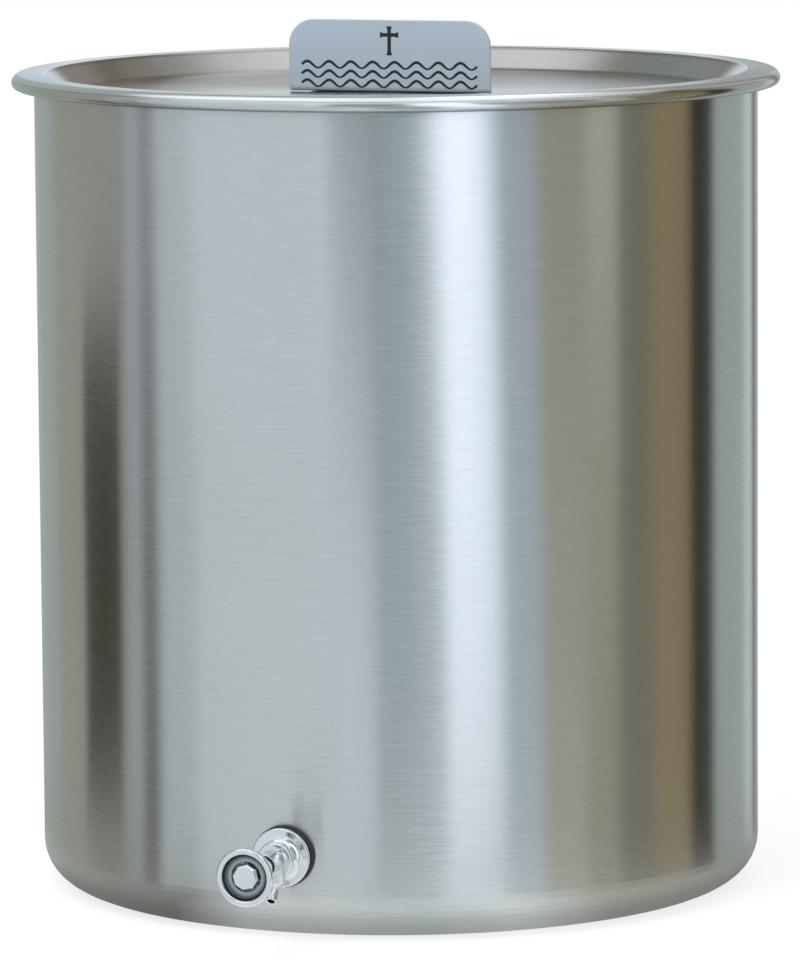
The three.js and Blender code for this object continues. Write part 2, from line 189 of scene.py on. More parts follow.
sign_edge = 0.28
rivet_tail_rounding = 0.3
rivet_head_edge = 0.15
gasket_edge = 0.5
shank_end_rounding = 0.5
casting_edge = 0.3
spout_edge = 0.15
guard_washer_edge = 0.25
guard_neck_rounding = 0.8
well_edge = 0.25
button_edge = 0.16

# Marks on the sign, in black paint

paint_thickness = 0.06
cross_height = 11.8
cross_span = 7.8
cross_arm_drop = 3.5
cross_stroke = 1.5
cross_flare = 0.45
cross_taper = 1.4
cross_foot_taper = 1.8
cross_top_margin = 2.6
cross_x = 0.1
wave_length = 75
wave_count = 8
wave_rise = 1.35
wave_stroke = 1.15
wave_rows = 3
wave_row_spacing = 3.8
wave_middle = 7
wave_thin_share = 0.62

# The lid's edge bends over the rim and ends in a thin lip that follows its roll

lip_bend = 4
lip_clearance = 0.08
lip_tip_clearance = 0.104
lip_inner_angle = 78
lip_inner_step = 0.4

# Finishes, painted shade and painted light: a fade has the two steps from an edge between which a finish or a
# painted shade comes in

shade_below_fade = (-0.9, -0.2)
shade_above_fade = (0.9, 0.3)
edge_light_step = 0.3
foot_shade_step = 0.2
top_shade_step = 0.5
bend_shade_width = 1.1
shade_strength = 0.6
bend_shade_strength = 0.45
brush_lines = 1800.0
line_share = 0.6
smear_share = 0.65
tank_line_depth = 0.004
lid_line_depth = 0.003
tank_roughness = (0.215, 0.245)
lid_roughness = (0.17, 0.22)
tank_anisotropy = 0.94
lid_anisotropy = 0.9
cup_side_fade = (0.5, -0.2)
cup_mouth_fade = (0.3, 1.2)
cup_floor_fade = (1.2, 0.5)
cup_shade_fade = (-2.6, -0.7)
well_side_fade = (0.9, 0.5)
well_floor_fade = (1, 0.4)
shade_middle_strength = 0.55
shade_side_strength = 0.4
polish_roughness = 0.06
recess_roughness = 0.22

# Fineness of the smooth surfaces, and how far cutters run past what they cut

tank_steps = 288
tap_steps = 96
bore_steps = 64
rivet_steps = 48
rivet_hole_steps = 32
stem_hole_steps = 48
sign_columns = 36
foot_corner_steps = 9
corner_steps = 14
corner_rows = 12
lip_steps = 8
lip_turn = 3
wave_steps = 24
spout_steps = 16
spout_sides = 48
coil_turn_steps = 28
wire_sides = 12
arc_step = math.radians(9)
support_step = 0.35
hole_ring_margin = 0.4
weld_distance = 0.0005
straight_cosine = 0.0005
overrun = 1
wall_overrun = 4

# The camera and the studio

view_turn = math.radians(18.2)
camera_place = (-3.5, -2669.8, 515.7)
camera_yaw = 0.0015
camera_pitch = 0.1309
camera_roll = -0.0073
camera_lens = 245.73
sensor_size = 36
camera_near = 50
camera_far = 50000
camera_distance = 2670
floor_radius = 760
floor_level = -0.2
table_level = -0.05
table_columns = 96
card_reach = 1150
card_top = 1500
card_cove = 250
card_start = -15
card_lean_height = 600
floor_steps = (0, 25, 55, 90, 130, 180, 240, 320, 440, 600)
cove_steps = 6
wall_steps = 24
foot_reach = (155, 420)
wall_foot = -0.1
back_reach = 1250
back_blend = (520, 720)
dark_card_reach = 240
dark_card_blend = (100, 230)
dim_card_reach = 1040
strip_softness = 1.1
strip_softness_share = 0.3
strip_column = 3
ceiling_share = 1.13
ceiling_columns = 24


# Outlines

def rounded_corner(before, corner, after, radius):
    """Points of the arc that rounds a path's corner."""
    back = (before - corner).normalized()
    onward = (after - corner).normalized()
    half = math.acos(max(-1, min(1, back.dot(onward)))) / 2
    if radius <= 0 or math.cos(half) < straight_cosine:
        return [corner]
    centre = corner + (back + onward).normalized() * (radius / math.sin(half))
    start = corner + back * (radius / math.tan(half))
    sweep = math.pi - 2 * half
    turn = 1 if back.x * onward.y - back.y * onward.x > 0 else -1
    steps = max(3, math.ceil(sweep / arc_step))
    spoke = start - centre
    return [centre + turned_flat(spoke, -turn * sweep * i / steps) for i in range(steps + 1)]


def turned_flat(vector, angle):
    c, s = math.cos(angle), math.sin(angle)
    return Vector((vector.x * c - vector.y * s, vector.x * s + vector.y * c))


def rounded_path(corners):
    """A path through corners, some of which carry a rounding after their place."""
    places = [Vector(corner[:2]) for corner in corners]
    points = [places[0]]
    for i in range(1, len(corners) - 1):
        rounding = corners[i][2] if len(corners[i]) > 2 else 0
        points += rounded_corner(places[i - 1], places[i], places[i + 1], rounding)
    points.append(places[-1])
    return without_repeats(points)


def without_repeats(points):
    kept = [points[0]]
    for p in points[1:]:
        if (p - kept[-1]).length > weld_distance:
            kept.append(p)
    return kept


def offset_path(corners, distance):
    """The corners of a path moved sideways, to the left where distance is positive."""
    normals = []
    for a, b in zip(corners, corners[1:]):
        along = (b - a).normalized()
        normals.append(Vector((-along.y, along.x)))
    moved = []
    for i, corner in enumerate(corners):
        a = normals[max(i - 1, 0)]
        b = normals[min(i, len(normals) - 1)]
        middle = (a + b).normalized()
        moved.append(corner + middle * (distance / middle.dot(a)))
    return moved


def bent_sheet(corners, thickness):
    """The outline of a sheet bent along a path, whose corners carry the inside radius of their bend."""
    path = [Vector(corner[:2]) for corner in corners]
    other = offset_path(path, thickness)
    near, far = [path[0]], [other[0]]
    for i in range(1, len(path) - 1):
        bend = corners[i][2]
        before = path[i] - path[i - 1]
        after = path[i + 1] - path[i]
        far_is_inside = (before.x * after.y - before.y * after.x) * thickness > 0
        near.append((*path[i], bend + abs(thickness) if far_is_inside else bend))
        far.append((*other[i], bend if far_is_inside else bend + abs(thickness)))
    return rounded_path([*near, path[-1]]) + rounded_path([*far, other[-1]])[::-1]


def ring_outline(inner, outer, back, front, back_rounding, front_rounding):
    """A flat ring, rounded along its outer edges."""
    return rounded_path(
        [(inner, back), (outer, back, back_rounding), (outer, front, front_rounding), (inner, front)]
    )


def with_supports(outline):
    """Points added close to the ends of long straight runs, so that they stay flat when shaded smooth."""
    points = [Vector(outline[0])]
    for a, b in zip(outline, outline[1:]):
        a, b = Vector(a), Vector(b)
        length = (b - a).length
        if length > 3 * support_step:
            step = (b - a).normalized() * support_step
            points += [a + step, b - step]
        points.append(b)
    return points


# Meshes

def mesh_piece(name, points, faces, material=None, edges=()):
    mesh = bpy.data.meshes.new(name)
    mesh.from_pydata([Vector(p) * MM for p in points], edges, faces)
    if material:
        mesh.materials.append(material)
    piece = bpy.data.objects.new(name, mesh)
    bpy.context.scene.collection.objects.link(piece)
    return piece


def prism(name, low, high, material):
    """A closed shape between two outlines with as many points."""
    count = len(low)
    faces = [tuple(range(count)), tuple(range(2 * count - 1, count - 1, -1))]
    faces += [(i, i + count, (i + 1) % count + count, (i + 1) % count) for i in range(count)]
    return mesh_piece(name, low + high, faces, material)


def grid_faces(rows, columns):
    """The faces between rows of points, each row with one more point than it has columns."""
    faces = []
    for i in range(rows):
        for k in range(columns):
            a = i * (columns + 1) + k
            faces.append((a, a + 1, a + columns + 2, a + columns + 1))
    return faces


def tube_faces(rings, sides):
    """The faces between rings of points, without the two ends."""
    faces = []
    for i in range(rings - 1):
        for k in range(sides):
            a, b = i * sides + k, i * sides + (k + 1) % sides
            faces.append((a, b, b + sides, a + sides))
    return faces


def bevelled(piece, width, least_degrees):
    edge = piece.modifiers.new("edge", "BEVEL")
    edge.width = width * MM
    edge.segments = 3
    edge.limit_method = "ANGLE"
    edge.angle_limit = math.radians(least_degrees)


def made_plain(piece):
    """Puts what the modifiers make in the piece's mesh, and removes them."""
    bpy.context.view_layer.update()
    graph = bpy.context.evaluated_depsgraph_get()
    mesh = bpy.data.meshes.new_from_object(piece.evaluated_get(graph), depsgraph=graph)
    piece.modifiers.clear()
    piece.data = mesh
    return piece


def welded(piece, outwards):
    """Merges doubles. On a closed piece it also points the faces outwards."""
    shape = bmesh.new()
    shape.from_mesh(piece.data)
    bmesh.ops.remove_doubles(shape, verts=shape.verts, dist=weld_distance * MM)
    if outwards:
        bmesh.ops.dissolve_degenerate(shape, edges=shape.edges, dist=weld_distance * MM)
        bmesh.ops.recalc_face_normals(shape, faces=shape.faces)
    shape.to_mesh(piece.data)
    shape.free()


def closed_outwards(piece, sharp_degrees=38):
    """Welds a closed piece and shades it smooth but for its sharp edges."""
    welded(piece, outwards=True)
    piece.data.polygons.foreach_set("use_smooth", [True] * len(piece.data.polygons))
    piece.data.set_sharp_from_angle(angle=math.radians(sharp_degrees))
    return piece


# Node trees

def group_tree(kind, name, inputs, outputs):
    """A node group, and the named sockets that its nodes are linked to."""
    tree = bpy.data.node_groups.new(name, kind)
    for in_out, sockets in (("INPUT", inputs), ("OUTPUT", outputs)):
        for label, carries, *default in sockets:
            made = tree.interface.new_socket(name=label, in_out=in_out, socket_type="NodeSocket" + carries)
            if default:
                made.default_value = default[0]
    return tree, tree.nodes.new("NodeGroupInput").outputs, tree.nodes.new("NodeGroupOutput").inputs


def add_node(tree, kind, inputs=None, **settings):
    """A node with its settings. Each of the inputs is linked to a socket or given a value."""
    node = tree.nodes.new(kind)
    for name, value in settings.items():
        setattr(node, name, value)
    for name, value in (inputs or {}).items():
        if isinstance(value, bpy.types.NodeSocket):
            tree.links.new(value, node.inputs[name])
        else:
            node.inputs[name].default_value = value
    return node


def math_node(tree, operation, *values):
    return add_node(tree, "ShaderNodeMath", dict(enumerate(values)), operation=operation).outputs[0]


def total(tree, first, second):
    return math_node(tree, "ADD", first, second)


def product(tree, first, *others):
    for other in others:
        first = math_node(tree, "MULTIPLY", first, other)
    return first


def axes(tree, vector):
    return add_node(tree, "ShaderNodeSeparateXYZ", {0: vector}).outputs


def distance_from_axis(tree, x, y):
    return math_node(tree, "SQRT", total(tree, product(tree, x, x), product(tree, y, y)))


def finish_tree(tree, geometry, material, result):
    realized = add_node(tree, "GeometryNodeRealizeInstances", {0: geometry}).outputs[0]
    painted = add_node(tree, "GeometryNodeSetMaterial", {"Geometry": realized, "Material": material})
    tree.links.new(painted.outputs[0], result)
    return tree


def turning_tree():
    """Turns a chain of points, in the plane of X and Z, round the Z axis."""
    tree, inputs, outputs = group_tree(
        "GeometryNodeTree",
        "turned outline",
        [("Outline", "Geometry"), ("Steps", "Int", 96), ("Weld", "Float", 1e-7), ("Material", "Material")],
        [("Turned", "Geometry")],
    )
    outline, steps = inputs["Outline"], inputs["Steps"]
    rows = add_node(tree, "GeometryNodeAttributeDomainSize", {0: outline}).outputs["Point Count"]
    columns = total(tree, steps, 1)
    grid = add_node(tree, "GeometryNodeMeshGrid", {"Vertices X": rows, "Vertices Y": columns})
    index = tree.nodes.new("GeometryNodeInputIndex").outputs[0]
    sample = add_node(
        tree,
        "GeometryNodeSampleIndex",
        {
            "Geometry": outline,
            "Value": tree.nodes.new("GeometryNodeInputPosition").outputs[0],
            "Index": math_node(tree, "FLOOR", math_node(tree, "DIVIDE", index, columns)),
        },
        data_type="FLOAT_VECTOR",
        domain="POINT",
    )
    radius, _, height = axes(tree, sample.outputs[0])
    share = math_node(tree, "DIVIDE", math_node(tree, "MODULO", index, columns), steps)
    angle = product(tree, share, math.tau)
    x = product(tree, radius, math_node(tree, "COSINE", angle))
    y = product(tree, radius, math_node(tree, "SINE", angle))
    place = add_node(tree, "ShaderNodeCombineXYZ", {"X": x, "Y": y, "Z": height}).outputs[0]
    moved = add_node(tree, "GeometryNodeSetPosition", {"Geometry": grid.outputs["Mesh"], "Position": place})
    joined = {"Geometry": moved.outputs[0], "Distance": inputs["Weld"]}
    merged = add_node(tree, "GeometryNodeMergeByDistance", joined)
    return finish_tree(tree, merged.outputs[0], inputs["Material"], outputs[0])


def copies_tree():
    """Copies a shape in an even row."""
    tree, inputs, outputs = group_tree(
        "GeometryNodeTree",
        "row of copies",
        [
            ("Shape", "Geometry"),
            ("Count", "Int", 2),
            ("First", "Vector"),
            ("Step", "Vector"),
            ("Material", "Material"),
        ],
        [("Row", "Geometry")],
    )
    line = add_node(
        tree,
        "GeometryNodeMeshLine",
        {"Count": inputs["Count"], "Start Location": inputs["First"], "Offset": inputs["Step"]},
    )
    copied = {"Points": line.outputs[0], "Instance": inputs["Shape"]}
    placed = add_node(tree, "GeometryNodeInstanceOnPoints", copied)
    return finish_tree(tree, placed.outputs[0], inputs["Material"], outputs[0])


def coil_tree():
    """A wire wound evenly round the Z axis."""
    tree, inputs, outputs = group_tree(
        "GeometryNodeTree",
        "wound wire",
        [
            ("Shape", "Geometry"),
            ("Turns", "Float", 6.0),
            ("Coil Radius", "Float", 0.01),
            ("Rise", "Float", 0.02),
            ("Wire Radius", "Float", 0.001),
            ("Material", "Material"),
        ],
        [("Coil", "Geometry")],
    )
    path = add_node(
        tree,
        "GeometryNodeCurveSpiral",
        {
            "Resolution": coil_turn_steps,
            "Rotations": inputs["Turns"],
            "Start Radius": inputs["Coil Radius"],
            "End Radius": inputs["Coil Radius"],
            "Height": inputs["Rise"],
        },
    )
    round_wire = {"Resolution": wire_sides, "Radius": inputs["Wire Radius"]}
    section = add_node(tree, "GeometryNodeCurvePrimitiveCircle", round_wire)
    wire = add_node(
        tree,
        "GeometryNodeCurveToMesh",
        {"Curve": path.outputs["Curve"], "Profile Curve": section.outputs["Curve"], "Fill Caps": True},
    )
    return finish_tree(tree, wire.outputs[0], inputs["Material"], outputs[0])


TURNING = turning_tree()
COPIES = copies_tree()
COIL = coil_tree()


def run_tree(piece, tree, values):
    """Runs a shape tree on the piece with the named inputs, and leaves a plain mesh."""
    modifier = piece.modifiers.new(tree.name, "NODES")
    modifier.node_group = tree
    for item in tree.interface.items_tree:
        if item.in_out == "INPUT" and item.name in values:
            modifier[item.identifier] = values[item.name]
    return made_plain(piece)


def turned(name, outline, steps, material):
    """An outline of (radius, height) points turned round Z. One off the axis is closed on itself."""
    first, last = Vector(outline[0]), Vector(outline[-1])
    closed = list(outline) if first.x == 0 and last.x == 0 else [*outline, first]
    chain = with_supports(closed)
    edges = [(i, i + 1) for i in range(len(chain) - 1)]
    piece = mesh_piece(name, [(p.x, 0, p.y) for p in chain], [], edges=edges)
    run_tree(piece, TURNING, {"Steps": steps, "Weld": weld_distance * MM, "Material": material})
    return closed_outwards(piece)


def bore(name, radius, start, end, steps, material):
    """A plain round cutter along the Z axis."""
    return turned(name, [(0, start), (radius, start), (radius, end), (0, end)], steps, material)


def cut(piece, cutter, operation="DIFFERENCE"):
    """Cuts or joins one piece with another, which is then removed."""
    modifier = piece.modifiers.new("cut", "BOOLEAN")
    modifier.operation = operation
    modifier.solver = "EXACT"
    modifier.object = cutter
    made_plain(piece)
    bpy.data.objects.remove(cutter)
    return piece


# The tap's own frame: its Z axis runs outwards from the tank's wall
TAP_PLACE = Matrix(
    (
        (1, 0, 0, 0),
        (0, 0, -1, -tank_radius * MM),
        (0, 1, 0, tap_height * MM),
        (0, 0, 0, 1),
    )
)


def on_tap(piece):
    piece.data.transform(TAP_PLACE)
    return piece


def upright(piece):
    """Stands a piece that was turned round Z along the tap's Y axis, at the outlet."""
    piece.data.transform(Matrix.Translation((0, 0, outlet_axis * MM)) @ Matrix.Rotation(-math.pi / 2, 4, "X"))
    return piece


# Materials

def new_material(name):
    material = bpy.data.materials.new(name)
    material.use_nodes = True
    material.node_tree.nodes.clear()
    return material, material.node_tree


def end_material(tree, shader):
    add_node(tree, "ShaderNodeOutputMaterial", {"Surface": shader.outputs[0]})


def object_place(tree):
    return tree.nodes.new("ShaderNodeTexCoord").outputs["Object"]


def noise(tree, vector, scale, detail, roughness=0.5):
    values = {"Vector": vector, "Scale": scale, "Detail": detail, "Roughness": roughness}
    return add_node(tree, "ShaderNodeTexNoise", values).outputs["Fac"]


def spread(tree, value, low, high):
    """Maps the middle half of a noise to a range."""
    values = {"Value": value, "From Min": 0.25, "From Max": 0.75, "To Min": low, "To Max": high}
    return add_node(tree, "ShaderNodeMapRange", values).outputs[0]


def smooth_range(tree, value, low, high):
    """0 below low and 1 above high, or the other way round where low is the larger."""
    rising = low < high
    values = {
        "Value": value,
        "From Min": min(low, high),
        "From Max": max(low, high),
        "To Min": 0 if rising else 1,
        "To Max": 1 if rising else 0,
    }
    return add_node(tree, "ShaderNodeMapRange", values, interpolation_type="SMOOTHSTEP").outputs[0]


def fade(tree, value, edge, steps):
    """Goes from 0 to 1 between two steps away from an edge, all in millimetres."""
    return smooth_range(tree, value, (edge + steps[0]) * MM, (edge + steps[1]) * MM)


def blended(tree, first, second, share):
    return total(tree, product(tree, first, share), product(tree, second, 1 - share))


def colour_between(tree, value, first, second):
    """Two colours mixed by a value. Each is a plain colour or comes from a node."""
    values = {"Factor": value}
    for label, colour in (("A", first), ("B", second)):
        values[label] = (*colour, 1) if isinstance(colour, tuple) else colour
    return add_node(tree, "ShaderNodeMix", values, data_type="RGBA").outputs["Result"]


def turned_grain_group():
    """Fine lines that run round the Z axis, and soft clouds, both from 0 to 1."""
    tree, inputs, outputs = group_tree(
        "ShaderNodeTree",
        "turned grain",
        [
            ("Place", "Vector"),
            ("Lines per metre", "Float", 900.0),
            ("Stretch", "Float", 90.0),
            ("Clouds per metre", "Float", 7.0),
        ],
        [("Lines", "Float"), ("Clouds", "Float")],
    )
    x, y, z = axes(tree, inputs["Place"])
    across = total(tree, distance_from_axis(tree, x, y), z)
    stretched = {
        "X": product(tree, x, inputs["Stretch"]),
        "Y": product(tree, y, inputs["Stretch"]),
        "Z": product(tree, across, inputs["Lines per metre"]),
    }
    along = add_node(tree, "ShaderNodeCombineXYZ", stretched).outputs[0]
    clouds = noise(tree, inputs["Place"], inputs["Clouds per metre"], detail=4)
    lines = noise(tree, along, scale=1, detail=3, roughness=0.62)
    tree.links.new(spread(tree, lines, 0, 1), outputs["Lines"])
    tree.links.new(spread(tree, clouds, 0, 1), outputs["Clouds"])
    return tree


def handled_group():
    """Faint smears and specks of a handled surface, both from 0 to 1."""
    tree, inputs, outputs = group_tree(
        "ShaderNodeTree",
        "handled surface",
        [("Place", "Vector"), ("Smears per metre", "Float", 60.0), ("Specks per metre", "Float", 900.0)],
        [("Smears", "Float"), ("Specks", "Float")],
    )
    for label, scale, detail in (("Smears", "Smears per metre", 3), ("Specks", "Specks per metre", 2)):
        marks = noise(tree, inputs["Place"], inputs[scale], detail)
        tree.links.new(spread(tree, marks, 0, 1), outputs[label])
    return tree


def rings_group():
    """Masks of a turned sheet: 1 outside a radius, and 1 along two thin rings."""
    tree, inputs, outputs = group_tree(
        "ShaderNodeTree",
        "turned rings",
        [
            ("Place", "Vector"),
            ("Edge radius", "Float", 0.14),
            ("First ring", "Float", 0.13),
            ("Second ring", "Float", 0.14),
            ("Ring width", "Float", 0.001),
        ],
        [("Edge", "Float"), ("Rings", "Float")],
    )
    x, y, _ = axes(tree, inputs["Place"])
    radius = distance_from_axis(tree, x, y)

    def widths_from(label):
        beyond = math_node(tree, "SUBTRACT", radius, inputs[label])
        return math_node(tree, "DIVIDE", beyond, inputs["Ring width"])

    tree.links.new(smooth_range(tree, widths_from("Edge radius"), -1, 1), outputs["Edge"])
    marks = []
    for label in ("First ring", "Second ring"):
        marks.append(smooth_range(tree, math_node(tree, "ABSOLUTE", widths_from(label)), 1, 0))
    tree.links.new(math_node(tree, "MAXIMUM", *marks), outputs["Rings"])
    return tree


TURNED_GRAIN = turned_grain_group()
HANDLED = handled_group()
TURNED_RINGS = rings_group()


def placed_group(tree, group, values):
    return add_node(tree, "ShaderNodeGroup", {"Place": object_place(tree), **values}, node_tree=group).outputs


def bumped(tree, height, depth):
    return add_node(tree, "ShaderNodeBump", {"Height": height, "Distance": depth * MM}).outputs["Normal"]


def surface(tree, colour, roughness, settings):
    """Ends a material in a Principled BSDF. Values that are the same all over are set on its sockets."""
    values = {"Base Color": colour, "Roughness": roughness, **settings}
    end_material(tree, add_node(tree, "ShaderNodeBsdfPrincipled", values))


def brushed_surface(tree, colour, roughness, anisotropic, lines, depth):
    """Metal with fine lines round the Z axis, and highlights drawn out across them."""
    tangent = add_node(tree, "ShaderNodeTangent", direction_type="RADIAL", axis="Z")
    settings = {
        "Metallic": 1.0,
        "Anisotropic": anisotropic,
        "Anisotropic Rotation": 0.25,
        "Tangent": tangent.outputs[0],
        "Normal": bumped(tree, lines, depth),
    }
    surface(tree, colour, roughness, settings)


def brushed_tank_steel(name):
    """Sheet steel brushed round the tank, with a soft shade line just below the rim."""
    material, tree = new_material(name)
    grain = placed_group(tree, TURNED_GRAIN, {"Lines per metre": brush_lines})
    both = blended(tree, grain["Lines"], grain["Clouds"], line_share)
    bare = colour_between(tree, both, (0.6, 0.61, 0.59), (0.74, 0.75, 0.74))
    height = axes(tree, object_place(tree))["Z"]
    crease = tank_height - rim_drop
    below = fade(tree, height, crease, shade_below_fade)
    above = fade(tree, height, crease, shade_above_fade)
    shade = product(tree, below, above, shade_strength)
    colour = colour_between(tree, shade, bare, (0.12, 0.11, 0.09))
    roughness = spread(tree, both, *tank_roughness)
    brushed_surface(tree, colour, roughness, tank_anisotropy, grain["Lines"], tank_line_depth)
    return material


def pressed_lid_steel(name):
    """Brushed sheet with painted light and shade: its flat edge is painted much lighter than the recessed
    panel as a painted highlight, and thin lines of painted shade run along both bends of the recess.
    """
    material, tree = new_material(name)
    grain = placed_group(tree, TURNED_GRAIN, {"Lines per metre": brush_lines})
    places = {
        "Edge radius": (opening_radius + edge_light_step) * MM,
        "First ring": (panel_radius + foot_shade_step) * MM,
        "Second ring": (opening_radius - top_shade_step) * MM,
        "Ring width": bend_shade_width * MM,
    }
    rings = placed_group(tree, TURNED_RINGS, places)
    # Painted light and shade: the panel is given a dark colour, and the flat edge past the opening a much
    # lighter one as a painted highlight.
    panel = colour_between(tree, grain["Lines"], (0.43, 0.43, 0.42), (0.49, 0.49, 0.48))
    lit_edge = colour_between(tree, rings["Edge"], panel, (0.78, 0.82, 0.85))
    # Thin rings of painted shade: one along the recess's foot bend, one just below its top bend.
    bend_shade = product(tree, rings["Rings"], bend_shade_strength)
    colour = colour_between(tree, bend_shade, lit_edge, (0.16, 0.12, 0.08))
    roughness = spread(tree, grain["Clouds"], *lid_roughness)
    brushed_surface(tree, colour, roughness, lid_anisotropy, grain["Lines"], lid_line_depth)
    return material


def cup_chrome(name):
    """Chrome with painted shade on the cup's floor and in the button's well, which are also rougher."""
    material, tree = new_material(name)
    marks = placed_group(tree, HANDLED, {"Smears per metre": 160.0, "Specks per metre": 2200.0})
    bright = colour_between(tree, marks["Smears"], (0.84, 0.85, 0.86), (0.9, 0.91, 0.92))
    x, y, z = axes(tree, object_place(tree))
    radius = distance_from_axis(tree, x, math_node(tree, "SUBTRACT", z, tap_height * MM))
    recess_radius = bezel_radius - bezel_width
    face = -tank_radius - guard_front
    inside = fade(tree, radius, recess_radius, cup_side_fade)
    past_mouth = fade(tree, y, face, cup_mouth_fade)
    floor = fade(tree, y, face + finger_depth, cup_floor_fade)
    narrow = fade(tree, radius, well_radius, well_side_fade)
    shaft = product(tree, narrow, fade(tree, y, -tank_radius - well_floor, well_floor_fade))
    hidden = math_node(tree, "MAXIMUM", floor, shaft)
    towards_side = fade(tree, radius, recess_radius, cup_shade_fade)
    strength = total(tree, product(tree, towards_side, shade_side_strength), shade_middle_strength)
    # Painted shade in the cup's recess and the button's well, darkest towards the cup's side.
    mask = product(tree, inside, past_mouth, strength, hidden)
    colour = colour_between(tree, mask, bright, (0.06, 0.075, 0.08))
    roughness = total(tree, product(tree, mask, recess_roughness), polish_roughness)
    surface(tree, colour, roughness, {"Metallic": 1.0})
    return material


def handled_metal(name, dark, light, roughness, smears, specks=900.0, bump=0.0):
    """Plain metal with faint smears, and a fine grain where bump isn't zero. Its roughness is a range."""
    material, tree = new_material(name)
    marks = placed_group(tree, HANDLED, {"Smears per metre": smears, "Specks per metre": specks})
    both = blended(tree, marks["Smears"], marks["Specks"], smear_share)
    settings = {"Metallic": 1.0}
    if bump:
        settings["Normal"] = bumped(tree, marks["Specks"], bump)
    surface(tree, colour_between(tree, both, dark, light), spread(tree, both, *roughness), settings)
    return material


def soft_coat(name, dark, light, roughness, bump, specks):
    """Rubber or paint: no metal, a faint tone and a fine grain."""
    material, tree = new_material(name)
    marks = placed_group(tree, HANDLED, {"Smears per metre": 90.0, "Specks per metre": specks})
    colour = colour_between(tree, marks["Smears"], dark, light)
    settings = {"Metallic": 0.0, "Normal": bumped(tree, marks["Specks"], bump)}
    surface(tree, colour, spread(tree, marks["Specks"], *roughness), settings)
    return material


TANK_STEEL = brushed_tank_steel("brushed tank steel")
LID_STEEL = pressed_lid_steel("brushed lid steel")
SIGN_METAL = handled_metal(
    "satin sign metal",
    (0.75, 0.82, 0.88),
    (0.8, 0.87, 0.92),
    (0.5, 0.58),
    smears=25.0,
    specks=2600.0,
    bump=0.01,
)
RIVET_METAL = handled_metal(
    "satin rivet metal", (0.66, 0.68, 0.7), (0.76, 0.78, 0.79), (0.28, 0.4), smears=300.0
)
CUP_CHROME = cup_chrome("cup chrome")
CHROME = handled_metal(
    "tap chrome", (0.82, 0.83, 0.84), (0.9, 0.91, 0.92), (0.04, 0.11), smears=160.0, specks=2200.0
)
BRASS = handled_metal(
    "machined brass", (0.56, 0.42, 0.2), (0.74, 0.58, 0.32), (0.25, 0.42), smears=120.0, specks=1500.0
)
WIRE_STEEL = handled_metal(
    "drawn wire steel", (0.5, 0.5, 0.5), (0.64, 0.64, 0.64), (0.22, 0.36), smears=300.0
)
RUBBER = soft_coat(
    "black rubber", (0.01, 0.01, 0.01), (0.028, 0.028, 0.027), (0.5, 0.72), bump=0.02, specks=2500.0
)
PAINT = soft_coat(
    "black paint", (0.012, 0.012, 0.013), (0.02, 0.02, 0.021), (0.35, 0.5), bump=0.005, specks=4000.0
)


# Tank

def tank_piece():
    sheet_top = tank_height - tank_sheet
    sheet_low = tank_height - rim_drop + tank_sheet
    roll = (sheet_top - sheet_low) / 2
    outline = bent_sheet(
        [
            (0, 0),
            (tank_radius, 0, base_bend),
            (tank_radius, sheet_top, neck_bend),
            (rim_radius - tank_sheet, sheet_top, roll),
            (rim_radius - tank_sheet, sheet_low, roll),
            (rim_radius - tank_sheet - rim_return, sheet_low),
        ],
        tank_sheet,
    )
    piece = turned("tank_shell", around_tap(outline), tank_steps, TANK_STEEL)
    hole = bore("tap_hole", shank_radius + seat_gap, -wall_overrun, wall_overrun, tap_steps, TANK_STEEL)
    cut(piece, on_tap(hole))
    return closed_outwards(piece)


def around_tap(outline):
    """Adds rings just above and below the tap's hole to the wall's long straight runs."""
    reach = gasket_radius - hole_ring_margin
    levels = [tap_height - reach, tap_height + reach]
    points = [outline[0]]
    for a, b in zip(outline, outline[1:]):
        if abs(a.x - b.x) < weld_distance and abs(a.y - b.y) > reach:
            inside = [v for v in levels if min(a.y, b.y) < v < max(a.y, b.y)]
            points += [Vector((a.x, v)) for v in sorted(inside, reverse=a.y > b.y)]
        points.append(b)
    return points


# Lid, sign and rivets

def rivet_hole_cutters():
    radius = rivet_radius + seat_gap
    low, high = panel_underside - wall_overrun, foot_top + wall_overrun
    for x in (-rivet_x, rivet_x):
        hole = bore("rivet_hole", radius, low, high, rivet_hole_steps, LID_STEEL)
        hole.data.transform(Matrix.Translation((x * MM, rivet_y * MM, 0)))
        yield hole


def lip_outline():
    """The lid's edge: down over the roll of the rim, and back along it on the underside."""
    roll = rim_drop / 2
    centre = Vector((rim_radius - roll, tank_height - roll))
    drop = lid_top - lip_bend - centre.y
    reach = math.sqrt((lip_bend - roll) ** 2 - drop**2)
    bend_centre = Vector((centre.x - reach, lid_top - lip_bend))
    over, under = [], []
    for degrees in range(90, 0, -lip_turn):
        way = Vector((math.cos(math.radians(degrees)), math.sin(math.radians(degrees))))
        point = bend_centre + way * lip_bend
        if (point - centre).length < roll + lip_tip_clearance:
            break
        over.append(point)
    tip = over[-1] - centre
    first = math.atan2(tip.y, tip.x)
    last = math.radians(lip_inner_angle)
    for i in range(lip_steps + 1):
        angle = first + (last - first) * i / lip_steps
        under.append(centre + Vector((math.cos(angle), math.sin(angle))) * (roll + lip_clearance))
    under.append(Vector((centre.x - lip_inner_step, lid_top - lid_sheet)))
    return over + under


def lid_piece():
    outline = bent_sheet(
        [
            (0, panel_top),
            (panel_radius, panel_top, recess_foot_bend),
            (opening_radius, lid_top, recess_top_bend),
            (lid_radius, lid_top),
        ],
        -lid_sheet,
    )
    corner = next(i for i, p in enumerate(outline) if p.x > lid_radius - weld_distance)
    outline = outline[:corner] + lip_outline() + outline[corner + 2 :]
    piece = turned("lid_pan", outline, tank_steps, LID_STEEL)
    for hole in rivet_hole_cutters():
        cut(piece, hole)
    return closed_outwards(piece)


